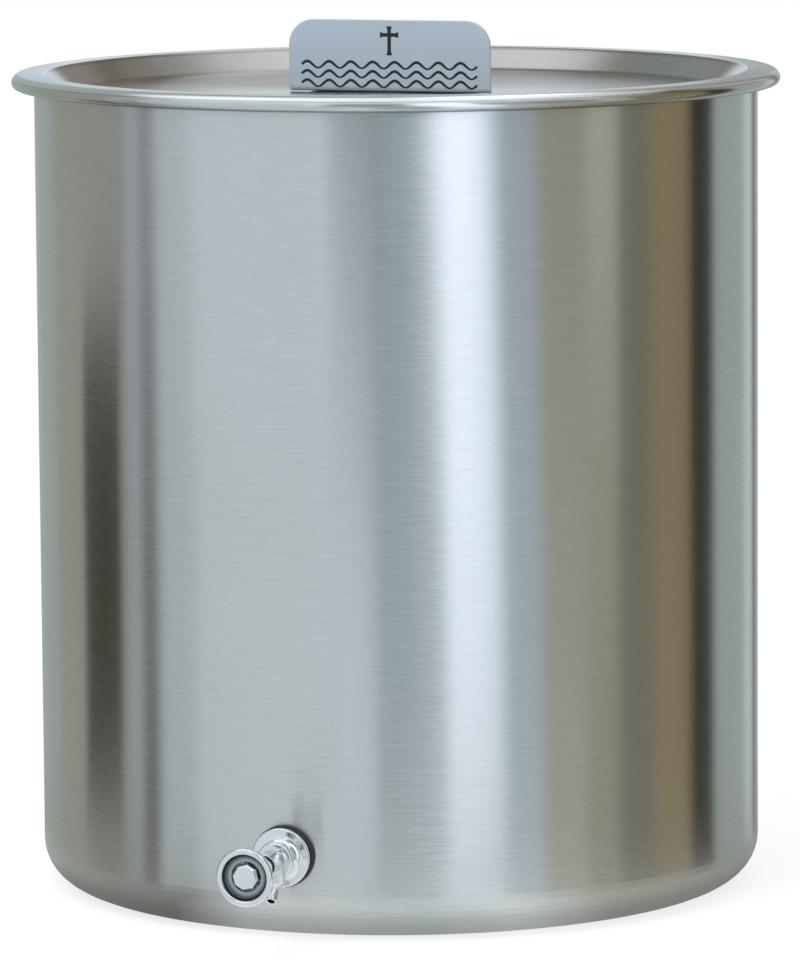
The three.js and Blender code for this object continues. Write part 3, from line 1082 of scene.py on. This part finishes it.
def foot_side_cutter(side):
    """What the foot lacks on one side, behind the plate."""
    half = sign_width / 2
    foot_half = half - foot_inset
    ledge = sign_sheet + sign_bend - sign_forward
    end = sign_foot - sign_forward
    plan = rounded_path(
        [(half + overrun, ledge), (foot_half, ledge, foot_notch), (foot_half, end - foot_corner)]
    )
    centre = Vector((foot_half - foot_corner, end - foot_corner))
    spoke = Vector((foot_corner, 0))
    for i in range(1, foot_corner_steps + 1):
        plan.append(centre + turned_flat(spoke, math.radians(90 * i / foot_corner_steps)))
    plan += [Vector((centre.x, end + overrun)), Vector((half + overrun, end + overrun))]
    low, high = [[(side * p.x, p.y, z) for p in plan] for z in (foot_underside - overrun, foot_top + overrun)]
    return closed_outwards(prism("foot_side", low, high, SIGN_METAL))


def sign_piece():
    """A sheet bent to an L. Its rows follow the bend, their ends the corners, and the last row the top."""
    front = -sign_forward
    path = rounded_path(
        [
            (front + sign_foot, foot_underside),
            (front, foot_underside, sign_bend + sign_sheet),
            (front, sign_top),
        ]
    )
    corner_start = sign_top - sign_corner
    straight = sign_width / 2 - sign_corner
    rise = [corner_start + sign_corner * math.sin(math.pi / 2 * i / corner_steps) for i in range(corner_rows)]
    rows = [(p.x, p.y) for p in path if p.y < corner_start] + [(front, z) for z in rise]
    shares = [2 * k / sign_columns - 1 for k in range(sign_columns + 1)]
    points = []
    for y, z in rows:
        half = straight + math.sqrt(sign_corner**2 - max(0.0, z - corner_start) ** 2)
        points += [(half * share, y, z) for share in shares]
    for x in [half * share for share in shares]:
        past = max(0.0, abs(x) - straight)
        points.append((x, front, corner_start + math.sqrt(sign_corner**2 - past**2)))
    piece = mesh_piece("sign_plate_bent", points, grid_faces(len(rows), sign_columns), SIGN_METAL)
    welded(piece, outwards=False)
    thick = piece.modifiers.new("sheet", "SOLIDIFY")
    thick.thickness = sign_sheet * MM
    thick.offset = -1
    bevelled(piece, sign_edge, least_degrees=50)
    made_plain(piece)
    for side in (-1, 1):
        cut(piece, foot_side_cutter(side))
    for hole in rivet_hole_cutters():
        cut(piece, hole)
    return closed_outwards(piece)


def rivets_piece():
    head_base = foot_top + seat_gap
    tail_top = panel_underside - seat_gap
    tail_low = tail_top - rivet_tail_height
    head_top = head_base + rivet_head_height
    outline = rounded_path(
        [
            (0, tail_low),
            (rivet_tail_radius, tail_low, rivet_tail_rounding),
            (rivet_tail_radius, tail_top, rivet_tail_rounding),
            (rivet_radius, tail_top),
            (rivet_radius, head_base),
            (rivet_head_radius, head_base, rivet_head_edge),
            (rivet_head_radius, head_top, rivet_head_rounding),
            (0, head_top),
        ]
    )
    piece = turned("sign_rivets", outline, rivet_steps, RIVET_METAL)
    run_tree(
        piece,
        COPIES,
        {
            "Count": 2,
            "First": (-rivet_x * MM, rivet_y * MM, 0),
            "Step": (2 * rivet_x * MM, 0, 0),
            "Material": RIVET_METAL,
        },
    )
    return closed_outwards(piece)


def cross_piece():
    """A plain cross whose four ends widen a little."""
    top = sign_top - cross_top_margin
    arm = top - cross_arm_drop
    low = top - cross_height
    half = cross_span / 2
    thin = cross_stroke / 2
    wide = thin + cross_flare
    right = [
        (wide, top),
        (thin, top - cross_taper),
        (thin, arm + thin),
        (half - cross_taper, arm + thin),
        (half, arm + wide),
        (half, arm - wide),
        (half - cross_taper, arm - thin),
        (thin, arm - thin),
        (thin, low + cross_foot_taper),
        (wide, low),
    ]
    outline = right + [(-x, z) for x, z in reversed(right)]
    face = -sign_forward
    front, back = [[(x + cross_x, y, z) for x, z in outline] for y in (face - paint_thickness, face)]
    return closed_outwards(prism("sign_cross", front, back, PAINT), sharp_degrees=30)


def waves_piece():
    """Rows of a plain wave line, the sign of water."""
    steps = wave_count * wave_steps
    first_row = foot_underside + wave_middle - wave_row_spacing * (wave_rows - 1) / 2
    upper, lower = [], []
    for i in range(steps + 1):
        x = wave_length * (i / steps - 0.5)
        phase = math.tau * wave_count * i / steps
        slope = wave_rise * math.cos(phase) * math.tau * wave_count / wave_length
        along = Vector((1, slope)).normalized()
        middle = Vector((x, first_row + wave_rise * math.sin(phase)))
        swell = (1 - wave_thin_share) * abs(math.sin(phase / 2 + math.pi / 4))
        width = wave_stroke / 2 * (wave_thin_share + swell)
        side = Vector((-along.y, along.x)) * width
        upper.append(middle + side)
        lower.append(middle - side)
    piece = ribbon("sign_waves", upper, lower)
    run_tree(
        piece,
        COPIES,
        {"Count": wave_rows, "First": (0, 0, 0), "Step": (0, 0, wave_row_spacing * MM), "Material": PAINT},
    )
    return closed_outwards(piece, sharp_degrees=30)


def ribbon(name, upper, lower):
    """A painted stroke on the sign's face, between two lines of as many points."""
    back = -sign_forward
    front = back - paint_thickness
    points = []
    for a, b in zip(upper, lower):
        points += [(a.x, front, a.y), (b.x, front, b.y), (b.x, back, b.y), (a.x, back, a.y)]
    last = len(points)
    ends = [(3, 2, 1, 0), (last - 4, last - 3, last - 2, last - 1)]
    return mesh_piece(name, points, tube_faces(len(upper), 4) + ends, PAINT)


# Tap

def gasket_piece():
    """A flat ring whose back follows the tank's round wall."""
    outline = ring_outline(shank_radius + seat_gap, gasket_radius, 0, gasket_front, 0, gasket_edge)
    piece = turned("gasket_ring", outline, tap_steps, RUBBER)
    grown = (tank_radius + seat_gap) * MM
    for vertex in piece.data.vertices:
        back = math.sqrt(grown**2 - vertex.co.x**2) - tank_radius * MM
        share = 1 - vertex.co.z / (gasket_front * MM)
        vertex.co.z += back * max(0.0, share)
    return closed_outwards(on_tap(piece))


def tap_body_piece():
    outside = rounded_path(
        [
            (0, shank_end),
            (shank_radius, shank_end, shank_end_rounding),
            (shank_radius, flange_back),
            (flange_radius, flange_back, casting_edge),
            (flange_radius, flange_front, flange_rounding),
            (throat_radius, flange_front, flare_rounding),
            (throat_radius, collar_back),
            (collar_radius, collar_back, collar_rounding),
            (collar_radius, collar_front, collar_rounding),
            (neck_radius, collar_front, casting_edge),
            (neck_radius, neck_front, casting_edge),
            (0, neck_front),
        ]
    )
    outlet = ring_outline(0, outlet_radius, outlet_radius, -outlet_drop, outlet_dome, outlet_edge)
    passage = [
        (0, shank_end - overrun),
        (inlet_bore, shank_end - overrun),
        (inlet_bore, flange_front),
        (seat_bore, flange_front),
        (seat_bore, outlet_axis),
        (stem_bore, outlet_axis),
        (stem_bore, socket_floor),
        (socket_radius, socket_floor),
        (socket_radius, neck_front + overrun),
        (0, neck_front + overrun),
    ]
    piece = turned("tap_casting", outside, tap_steps, CHROME)
    cut(piece, upright(turned("outlet_outside", outlet, tap_steps, CHROME)), "UNION")
    cut(piece, turned("passage", passage, bore_steps, CHROME))
    low = -outlet_drop - overrun
    cut(piece, upright(bore("outlet_passage", outlet_bore, seat_bore, low, bore_steps, CHROME)))
    return closed_outwards(on_tap(piece))


def spout_piece():
    """A short bent tube: rings of points along its line, down the outside and back up the inside."""
    bend_start = -outlet_drop - spout_straight
    first = Vector((0, bend_start, outlet_axis))
    middle = Vector((0, bend_start - spout_bend_drop, outlet_axis))
    tip = Vector((0, -spout_drop, outlet_axis + spout_lean))
    line = [(Vector((0, spout_insert - outlet_drop, outlet_axis)), Vector((0, -1, 0)))]
    for i in range(spout_steps + 1):
        t = i / spout_steps
        at = first * (1 - t) ** 2 + middle * (2 * t * (1 - t)) + tip * t**2
        way = (middle - first) * (1 - t) + (tip - middle) * t
        line.append((at, way.normalized()))
    way = line.pop()[1]
    line.append((tip - way * spout_edge, way))
    inner = spout_radius - spout_wall
    rings = [(*step, spout_radius) for step in line]
    rings += [(tip, way, spout_radius - spout_edge), (tip, way, inner + spout_edge)]
    rings += [(*step, inner) for step in reversed(line)]
    rings.append(rings[0])
    across = Vector((1, 0, 0))
    points = []
    for at, way, radius in rings:
        up = way.cross(across)
        for k in range(spout_sides):
            angle = math.tau * k / spout_sides
            points.append(at + (across * math.cos(angle) + up * math.sin(angle)) * radius)
    faces = tube_faces(len(rings), spout_sides)
    return closed_outwards(on_tap(mesh_piece("spout_tube", points, faces, CHROME)))


def guard_washer_piece():
    back, front = guard_washer_back, guard_washer_front
    edge = guard_washer_edge
    outline = ring_outline(socket_radius, guard_washer_radius, back, front, edge, edge)
    return closed_outwards(on_tap(turned("guard_washer_ring", outline, tap_steps, RUBBER)))


def guard_piece():
    recess_radius = bezel_radius - bezel_width
    recess_floor = guard_front - finger_depth
    outside = rounded_path(
        [
            (guard_neck_radius, guard_back),
            (guard_neck_radius, guard_neck_end, guard_neck_rounding),
            (bowl_radius, guard_neck_end, bowl_rounding),
            (bowl_radius, bowl_end, bowl_rounding),
            (bezel_radius, bowl_end + bezel_width, bezel_rounding),
            (bezel_radius, guard_front, bezel_rounding),
            (recess_radius, guard_front, bezel_rounding),
            (recess_radius, recess_floor, floor_rounding),
            (well_radius, recess_floor, well_edge),
            (well_radius, well_floor),
        ]
    )
    inside = [
        (spring_pocket, well_floor),
        (spring_pocket, pocket_floor),
        (stem_bore, pocket_floor),
        (stem_bore, guard_spigot_end),
        (socket_radius - seat_gap, guard_spigot_end),
        (socket_radius - seat_gap, guard_back),
    ]
    outline = [*outside, *(Vector(p) for p in inside)]
    return closed_outwards(on_tap(turned("guard_cup", outline, tap_steps, CUP_CHROME)))


def button_piece():
    """An eight-sided button with a bevelled face and fine round edges."""
    rings = [
        (button_corner, button_back),
        (button_corner, button_face - button_chamfer),
        (button_corner - button_chamfer, button_face),
    ]
    points = []
    for radius, height in rings:
        for k in range(button_sides):
            angle = math.radians(button_turn) + math.tau * k / button_sides
            points.append((radius * math.cos(angle), radius * math.sin(angle), height))
    ends = [tuple(range(button_sides))[::-1], tuple(range(2 * button_sides, 3 * button_sides))]
    faces = tube_faces(len(rings), button_sides) + ends
    piece = mesh_piece("button_cap", points, faces, CHROME)
    bevelled(piece, button_edge, least_degrees=30)
    made_plain(piece)
    start, end = button_back - overrun, button_back + stem_socket
    cut(piece, bore("stem_hole", stem_bore, start, end, stem_hole_steps, CHROME))
    return closed_outwards(on_tap(piece), sharp_degrees=25)


def spring_piece():
    """A coil of round wire between the guard's pocket and the button."""
    piece = mesh_piece("spring_coil", [], [])
    run_tree(
        piece,
        COIL,
        {
            "Turns": float(spring_turns),
            "Coil Radius": (spring_pocket + stem_radius) / 2 * MM,
            "Rise": (spring_length - 2 * spring_wire) * MM,
            "Wire Radius": spring_wire * MM,
            "Material": WIRE_STEEL,
        },
    )
    piece.data.transform(Matrix.Translation((0, 0, (spring_base + spring_wire) * MM)))
    return closed_outwards(on_tap(piece), sharp_degrees=60)


def squeezed(piece):
    """Gives the spring a mesh of its own."""
    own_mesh(piece)


# Put the pieces on their bodies

def dress(piece, body, slot, *nodes):
    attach(piece, body)
    if nodes:
        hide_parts(*nodes)


dress(tank_piece(), "tank", "tank_steel", "tank")
dress(lid_piece(), "lid", "lid_steel", "lid")
dress(sign_piece(), "lid", "sign_metal", "sign_plate")
dress(rivets_piece(), "lid", "rivet_metal", "sign_rivet_left", "sign_rivet_right")
dress(cross_piece(), "lid", None)
dress(waves_piece(), "lid", None)
dress(gasket_piece(), "tank", "tap_rubber", "outer_gasket")
dress(tap_body_piece(), "tank", "tap_chrome", "tap_body")
dress(spout_piece(), "tank", "tap_chrome", "spout")
dress(guard_washer_piece(), "tank", "tap_rubber", "guard_washer")
dress(guard_piece(), "tank", "tap_chrome", "button_guard")
dress(button_piece(), "button", "tap_chrome", "push_button")
spring = spring_piece()
dress(spring, "tank", "spring_steel", "return_spring")
squeezed(spring)

# The CAD nodes that stay, with better materials
for material, nodes in (
    (RUBBER, ("inner_seal", "stem_seal", "valve_disc")),
    (BRASS, ("shank_washer", "lock_nut", "stem", "valve_retainer")),
):
    for node in nodes:
        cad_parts[node].data.materials.clear()
        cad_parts[node].data.materials.append(material)


# Camera

def photo_camera():
    data = bpy.data.cameras.new("photo_camera")
    data.lens = camera_lens
    data.sensor_width = sensor_size
    data.clip_start = camera_near * MM
    data.clip_end = camera_far * MM
    camera = bpy.data.objects.new("photo_camera", data)
    bpy.context.scene.collection.objects.link(camera)
    camera.matrix_world = (
        Matrix.Rotation(view_turn, 4, "Z")
        @ Matrix.Translation(Vector(camera_place) * MM)
        @ Matrix.Rotation(-camera_yaw, 4, "Z")
        @ Matrix.Rotation(math.pi / 2 - camera_pitch, 4, "X")
        @ Matrix.Rotation(camera_roll, 4, "Z")
    )
    bpy.context.scene.camera = camera


# Studio: a pale floor, a white surround, one soft lamp, and cards that only the metal reflects

def shows_background(tree):
    """1 for the rays that see the background: from the camera, off metal and through glass."""
    path = tree.nodes.new("ShaderNodeLightPath").outputs
    either = math_node(tree, "MAXIMUM", path["Is Camera Ray"], path["Is Glossy Ray"])
    return math_node(tree, "MAXIMUM", either, path["Is Transmission Ray"])


def white_world(level):
    """White where it is seen, and a light of its own level on the object."""
    world = bpy.data.worlds.new("white surround")
    bpy.context.scene.world = world
    world.use_nodes = True
    tree = world.node_tree
    tree.nodes.clear()
    strength = total(tree, product(tree, shows_background(tree), 1 - level), level)
    plain = add_node(tree, "ShaderNodeBackground", {"Color": (1, 1, 1, 1), "Strength": strength})
    add_node(tree, "ShaderNodeOutputWorld", {"Surface": plain.outputs[0]})


def pale_floor(colour, glow):
    sides = 128
    points = []
    for k in range(sides):
        angle = math.tau * k / sides
        points.append((floor_radius * math.cos(angle), floor_radius * math.sin(angle), floor_level))
    floor = mesh_piece("floor", points, [tuple(range(sides))])
    material, tree = new_material("pale floor")
    matte = add_node(tree, "ShaderNodeBsdfDiffuse", {"Color": (*colour, 1)})
    seen = product(tree, shows_background(tree), glow)
    bright = add_node(tree, "ShaderNodeEmission", {"Strength": seen})
    end_material(tree, add_node(tree, "ShaderNodeAddShader", {0: matte.outputs[0], 1: bright.outputs[0]}))
    floor.data.materials.append(material)


def soft_lamp(name, place, aim, size, power):
    place, aim = Vector(place) * MM, Vector(aim) * MM
    data = bpy.data.lights.new(name, "AREA")
    data.shape = "DISK"
    data.size = size * MM
    data.energy = power
    lamp = bpy.data.objects.new(name, data)
    bpy.context.scene.collection.objects.link(lamp)
    turn = (aim - place).to_track_quat("-Z", "Y")
    lamp.matrix_world = Matrix.Translation(place) @ turn.to_matrix().to_4x4()
    lamp.visible_glossy = False


def seen_place(wall_angle, along, height):
    """Follows the camera's sight line from where it meets the tank's wall, as the wall reflects it."""
    a = math.radians(wall_angle)
    meets = Vector((tank_radius * math.sin(a), -tank_radius * math.cos(a)))
    onward = 2 * a + math.atan2(meets.x, camera_distance + meets.y)
    ground = meets + Vector((math.sin(onward), -math.cos(onward))) * along
    return ground.x, ground.y, height


def studio_card(name, points, faces, glow):
    """A card in the camera's directions, which only the metal reflects. Its glow comes from nodes."""
    card = mesh_piece(name, points, faces)
    card.data.transform(Matrix.Rotation(view_turn, 4, "Z"))
    material, tree = new_material(name)
    end_material(tree, add_node(tree, "ShaderNodeEmission", {"Color": glow(tree)}))
    card.data.materials.append(material)
    card.visible_camera = False
    card.visible_diffuse = False
    card.visible_shadow = False
    card.visible_transmission = False
    return card


def glow_by_height(upper, lower, blend):
    """One colour high up and one low down, between two heights."""

    def glow(tree):
        height = axes(tree, object_place(tree))["Z"]
        return colour_between(tree, fade(tree, height, 0, blend), lower, upper)

    return glow


def glow_by_point(tree):
    return add_node(tree, "ShaderNodeAttribute", attribute_name="tone").outputs["Color"]


def toned_card(name, rows):
    """A card whose glow goes evenly from point to point. A row is a list of places, each with its colour."""
    cells = [cell for row in rows for cell in row]
    faces = grid_faces(len(rows) - 1, len(rows[0]) - 1)
    card = studio_card(name, [place for place, _ in cells], faces, glow_by_point)
    tone = card.data.attributes.new("tone", "FLOAT_COLOR", "POINT")
    for i, (_, colour) in enumerate(cells):
        tone.data[i].color = (*colour, 1)


def mixed_colour(first, second, share):
    return tuple(a + (b - a) * share for a, b in zip(first, second))


def between(stops, at):
    """The colour at a place among sorted stops, each a place and a colour."""
    if at <= stops[0][0]:
        return stops[0][1]
    for (low, first), (high, second) in zip(stops, stops[1:]):
        if at <= high:
            return mixed_colour(first, second, (at - low) / (high - low))
    return stops[-1][1]


def eased(value, low, high):
    """Goes smoothly from 0 at low to 1 at high."""
    share = min(1, max(0, (value - low) / (high - low)))
    return share * share * (3 - 2 * share)


def strip(left, right, upper, lower, foot, blend=(0, 700), near_foot=foot_reach):
    """The columns of one strip of the studio wall. Its two borders each have a wall angle at the top and
    one at the foot. It has one colour high up, one low down, and one on the floor near the tank."""

    def colour(place):
        floor = mixed_colour(foot, lower, eased(math.hypot(place[0], place[1]), *near_foot))
        return mixed_colour(floor, upper, eased(place[2], *blend))

    width = right[0] - left[0]
    soft = min(strip_softness, width * strip_softness_share)
    steps = max(1, math.ceil(width / strip_column))
    columns = []
    for k in range(steps + 1):
        inwards = soft * (1 - 2 * k / steps)
        high, low = [a + (b - a) * k / steps + inwards for a, b in zip(left, right)]
        columns.append((low, high, colour))
    return columns


def studio_wall(strips, end):
    """The strips side by side, from under the tank along the floor and up. Their borders are soft."""
    profile = [(along, 0) for along in (card_start, *floor_steps, card_reach - card_cove)]
    for i in range(1, cove_steps + 1):
        turn = math.pi / 2 * i / cove_steps
        out = card_reach - card_cove + card_cove * math.sin(turn)
        profile.append((out, card_cove - card_cove * math.cos(turn)))
    rise = card_top - card_cove
    profile += [(card_reach, card_cove + rise * i / wall_steps) for i in range(1, wall_steps + 1)]
    columns = []
    for (left, *values), (right, *_) in zip(strips, [*strips[1:], (end,)]):
        columns += strip(left, right, *values)
    rows = []
    for along, height in profile:
        row = []
        rise = min(1, height / card_lean_height)
        for low, high, colour in columns:
            place = seen_place(low + (high - low) * rise, along, height + wall_foot)
            row.append((place, colour(place)))
        rows.append(row)
    toned_card("studio_wall", rows)


def table_ring(rings, stops):
    """The table close round the foot: rings of one radius and strength, and colours by angle. The weaker
    inner rings are painted shade where the tank's foot shades the table.
    """
    rows = []
    for radius, strength in rings:
        row = []
        for k in range(table_columns + 1):
            angle = -180 + 360 * k / table_columns
            turn = math.radians(angle)
            colour = tuple(c * strength for c in between(stops, angle))
            row.append(((radius * math.sin(turn), -radius * math.cos(turn), table_level), colour))
        rows.append(row)
    toned_card("table_ring", rows)


def soft_ceiling(bands):
    """The ceiling: bands from near to far, each a place and its colours from left to right."""
    edges = [card_reach * ceiling_share * (2 * k / ceiling_columns - 1) for k in range(ceiling_columns + 1)]
    rows = [[((x, y, card_top), between(stops, x)) for x in edges] for y, stops in bands]
    toned_card("ceiling", rows)


bpy.context.scene.view_settings.view_transform = "Standard"
photo_camera()
white_world(level=0.8)
pale_floor(colour=(0.34, 0.34, 0.34), glow=0.76)
soft_lamp("key_lamp", place=(-600, -1600, 2600), aim=(0, 0, 170), size=1800, power=22)

# Each strip: its left border, its colours high up, low down and near the tank, and where they blend
studio_wall(
    [
        # The left flank, grey and olive, with a pale and a grey line at its end
        ((-86, -86), (0.38, 0.43, 0.42), (0.38, 0.43, 0.41), (0.35, 0.37, 0.34)),
        ((-68.5, -68.5), (0.36, 0.39, 0.33), (0.35, 0.37, 0.32), (0.35, 0.35, 0.32)),
        ((-60.5, -60.5), (0.37, 0.38, 0.36), (0.35, 0.36, 0.32), (0.35, 0.36, 0.32)),
        ((-46.6, -46.6), (0.5, 0.56, 0.64), (0.42, 0.46, 0.5), (0.31, 0.32, 0.3)),
        ((-43.7, -43.7), (0.42, 0.43, 0.43), (0.1, 0.1, 0.1), (0.22, 0.22, 0.21), (-100, 450)),
        # The pale left half, and the white line where it ends
        ((-41.2, -40.5), (0.6, 0.69, 0.75), (0.54, 0.61, 0.65), (0.46, 0.49, 0.49)),
        ((-34, -33), (0.68, 0.78, 0.86), (0.66, 0.73, 0.78), (0.63, 0.67, 0.7)),
        ((-13.5, -9), (0.9, 1.05, 1.22), (0.76, 0.86, 0.95), (0.56, 0.61, 0.65)),
        # The dim middle, the brightest strip beside it, and a grey one
        ((-10.3, -3.6), (0.33, 0.41, 0.45), (0.42, 0.5, 0.54), (0.68, 0.73, 0.76)),
        ((2, 7.4), (1.54, 1.66, 1.88), (1.14, 1.26, 1.43), (0.6, 0.67, 0.73), (0, 550), (155, 850)),
        ((11.5, 16.2), (0.37, 0.44, 0.5), (0.5, 0.58, 0.66), (0.72, 0.78, 0.84), (20, 330), (150, 300)),
        # The right half, olive and brown, then nearly black
        ((20, 22.5), (0.29, 0.3, 0.25), (0.44, 0.44, 0.38), (0.58, 0.59, 0.55), (20, 300), (150, 280)),
        ((30, 30), (0.54, 0.55, 0.47), (0.32, 0.31, 0.25), (0.42, 0.41, 0.36), (0, 260), (150, 280)),
        ((36, 36), (0.2, 0.2, 0.16), (0.22, 0.21, 0.17), (0.26, 0.25, 0.22), (0, 700), (150, 260)),
        ((43, 43), (0.27, 0.21, 0.11), (0.31, 0.25, 0.15), (0.28, 0.25, 0.18)),
        ((51.8, 51.8), (0.015, 0.015, 0.01), (0.035, 0.035, 0.025), (0.07, 0.07, 0.055)),
        # The right flank, grey, with one dark line
        ((58.4, 58.4), (0.42, 0.4, 0.36), (0.39, 0.44, 0.42), (0.36, 0.38, 0.36), (400, 800)),
        ((71, 71), (0.42, 0.4, 0.36), (0.56, 0.64, 0.66), (0.44, 0.48, 0.48), (400, 800)),
        ((76.5, 76.5), (0.14, 0.12, 0.09), (0.14, 0.13, 0.1), (0.2, 0.2, 0.18), (400, 800)),
        ((79.5, 79.5), (0.42, 0.4, 0.36), (0.44, 0.5, 0.5), (0.36, 0.38, 0.37), (400, 800)),
    ],
    (86, 86),
)

# A dark card low on the left, and a dim one that hangs before the dim middle strip
ends = ((-58.5, 4), (-58.5, 212), (-48.5, 212), (-48.5, 4))
corners = [seen_place(angle, dark_card_reach, height) for angle, height in ends]
dark = (0.06, 0.06, 0.045)
studio_card("dark_card", corners, [(0, 1, 2, 3)], glow_by_height(dark, dark, dark_card_blend))
dim_rows = (
    (45, (-4.8, (0.5, 0.58, 0.63)), (-3.6, (0.45, 0.53, 0.58)), (-2.2, (0.43, 0.51, 0.56))),
    (240, (-11.6, (0.84, 0.95, 1.07)), (-9, (0.34, 0.4, 0.43)), (-2.2, (0.3, 0.35, 0.38))),
    (520, (-12.8, (0.87, 1, 1.14)), (-10.4, (0.2, 0.24, 0.26)), (-2.2, (0.19, 0.22, 0.24))),
)
rows = [[(seen_place(angle, dim_card_reach, z), tone) for angle, tone in row] for z, *row in dim_rows]
toned_card("dim_card", rows)

# The inner rings are dimmed: painted shade on the table round the tank's foot.
table_ring(
    ((122, 0.46), (144, 0.68), (158, 0.98), (205, 1.14)),
    (
        (-90, (0.4, 0.42, 0.4)),
        (-41, (0.28, 0.29, 0.27)),
        (-26, (0.78, 0.81, 0.82)),
        (4, (0.7, 0.76, 0.78)),
        (20, (0.88, 0.94, 0.95)),
        (38, (0.5, 0.5, 0.45)),
        (90, (0.32, 0.34, 0.32)),
    ),
)

# The wall behind the tank, seen in the lid, and the ceiling
for name, left, right, lower in (
    ("back_wall_left", -420, -200, (0.52, 0.6, 0.64)),
    ("back_wall_near_sign", -200, -20, (0.78, 0.86, 0.9)),
    ("back_wall_middle", -20, 90, (0.8, 0.88, 0.94)),
    ("back_wall_right", 90, 190, (0.78, 0.86, 0.92)),
    ("back_wall_corner", 190, 420, (0.34, 0.38, 0.38)),
):
    ends = ((left, wall_foot), (right, wall_foot), (right, card_top), (left, card_top))
    corners = [(x, back_reach, z) for x, z in ends]
    studio_card(name, corners, [(0, 1, 2, 3)], glow_by_height((0.34, 0.32, 0.27), lower, back_blend))
near_ceiling = ((0, (0.95, 0.98, 1.02)),)
lit_ceiling = (
    (-1300, (1.0, 1.02, 1.04)),
    (-450, (1.26, 1.29, 1.34)),
    (0, (1.06, 1.09, 1.12)),
    (320, (1.3, 1.34, 1.4)),
    (700, (0.72, 0.73, 0.72)),
    (1300, (0.62, 0.62, 0.6)),
)
far_ceiling = (
    (0, (0.42, 0.41, 0.37)),
    (120, (1.5, 1.53, 1.56)),
    (260, (2.3, 2.35, 2.4)),
    (400, (1.5, 1.53, 1.56)),
    (540, (0.5, 0.49, 0.46)),
)
soft_ceiling(
    (
        (-1300, near_ceiling),
        (-450, near_ceiling),
        (-150, lit_ceiling),
        (450, lit_ceiling),
        (650, far_ceiling),
        (1300, far_ceiling),
    )
)
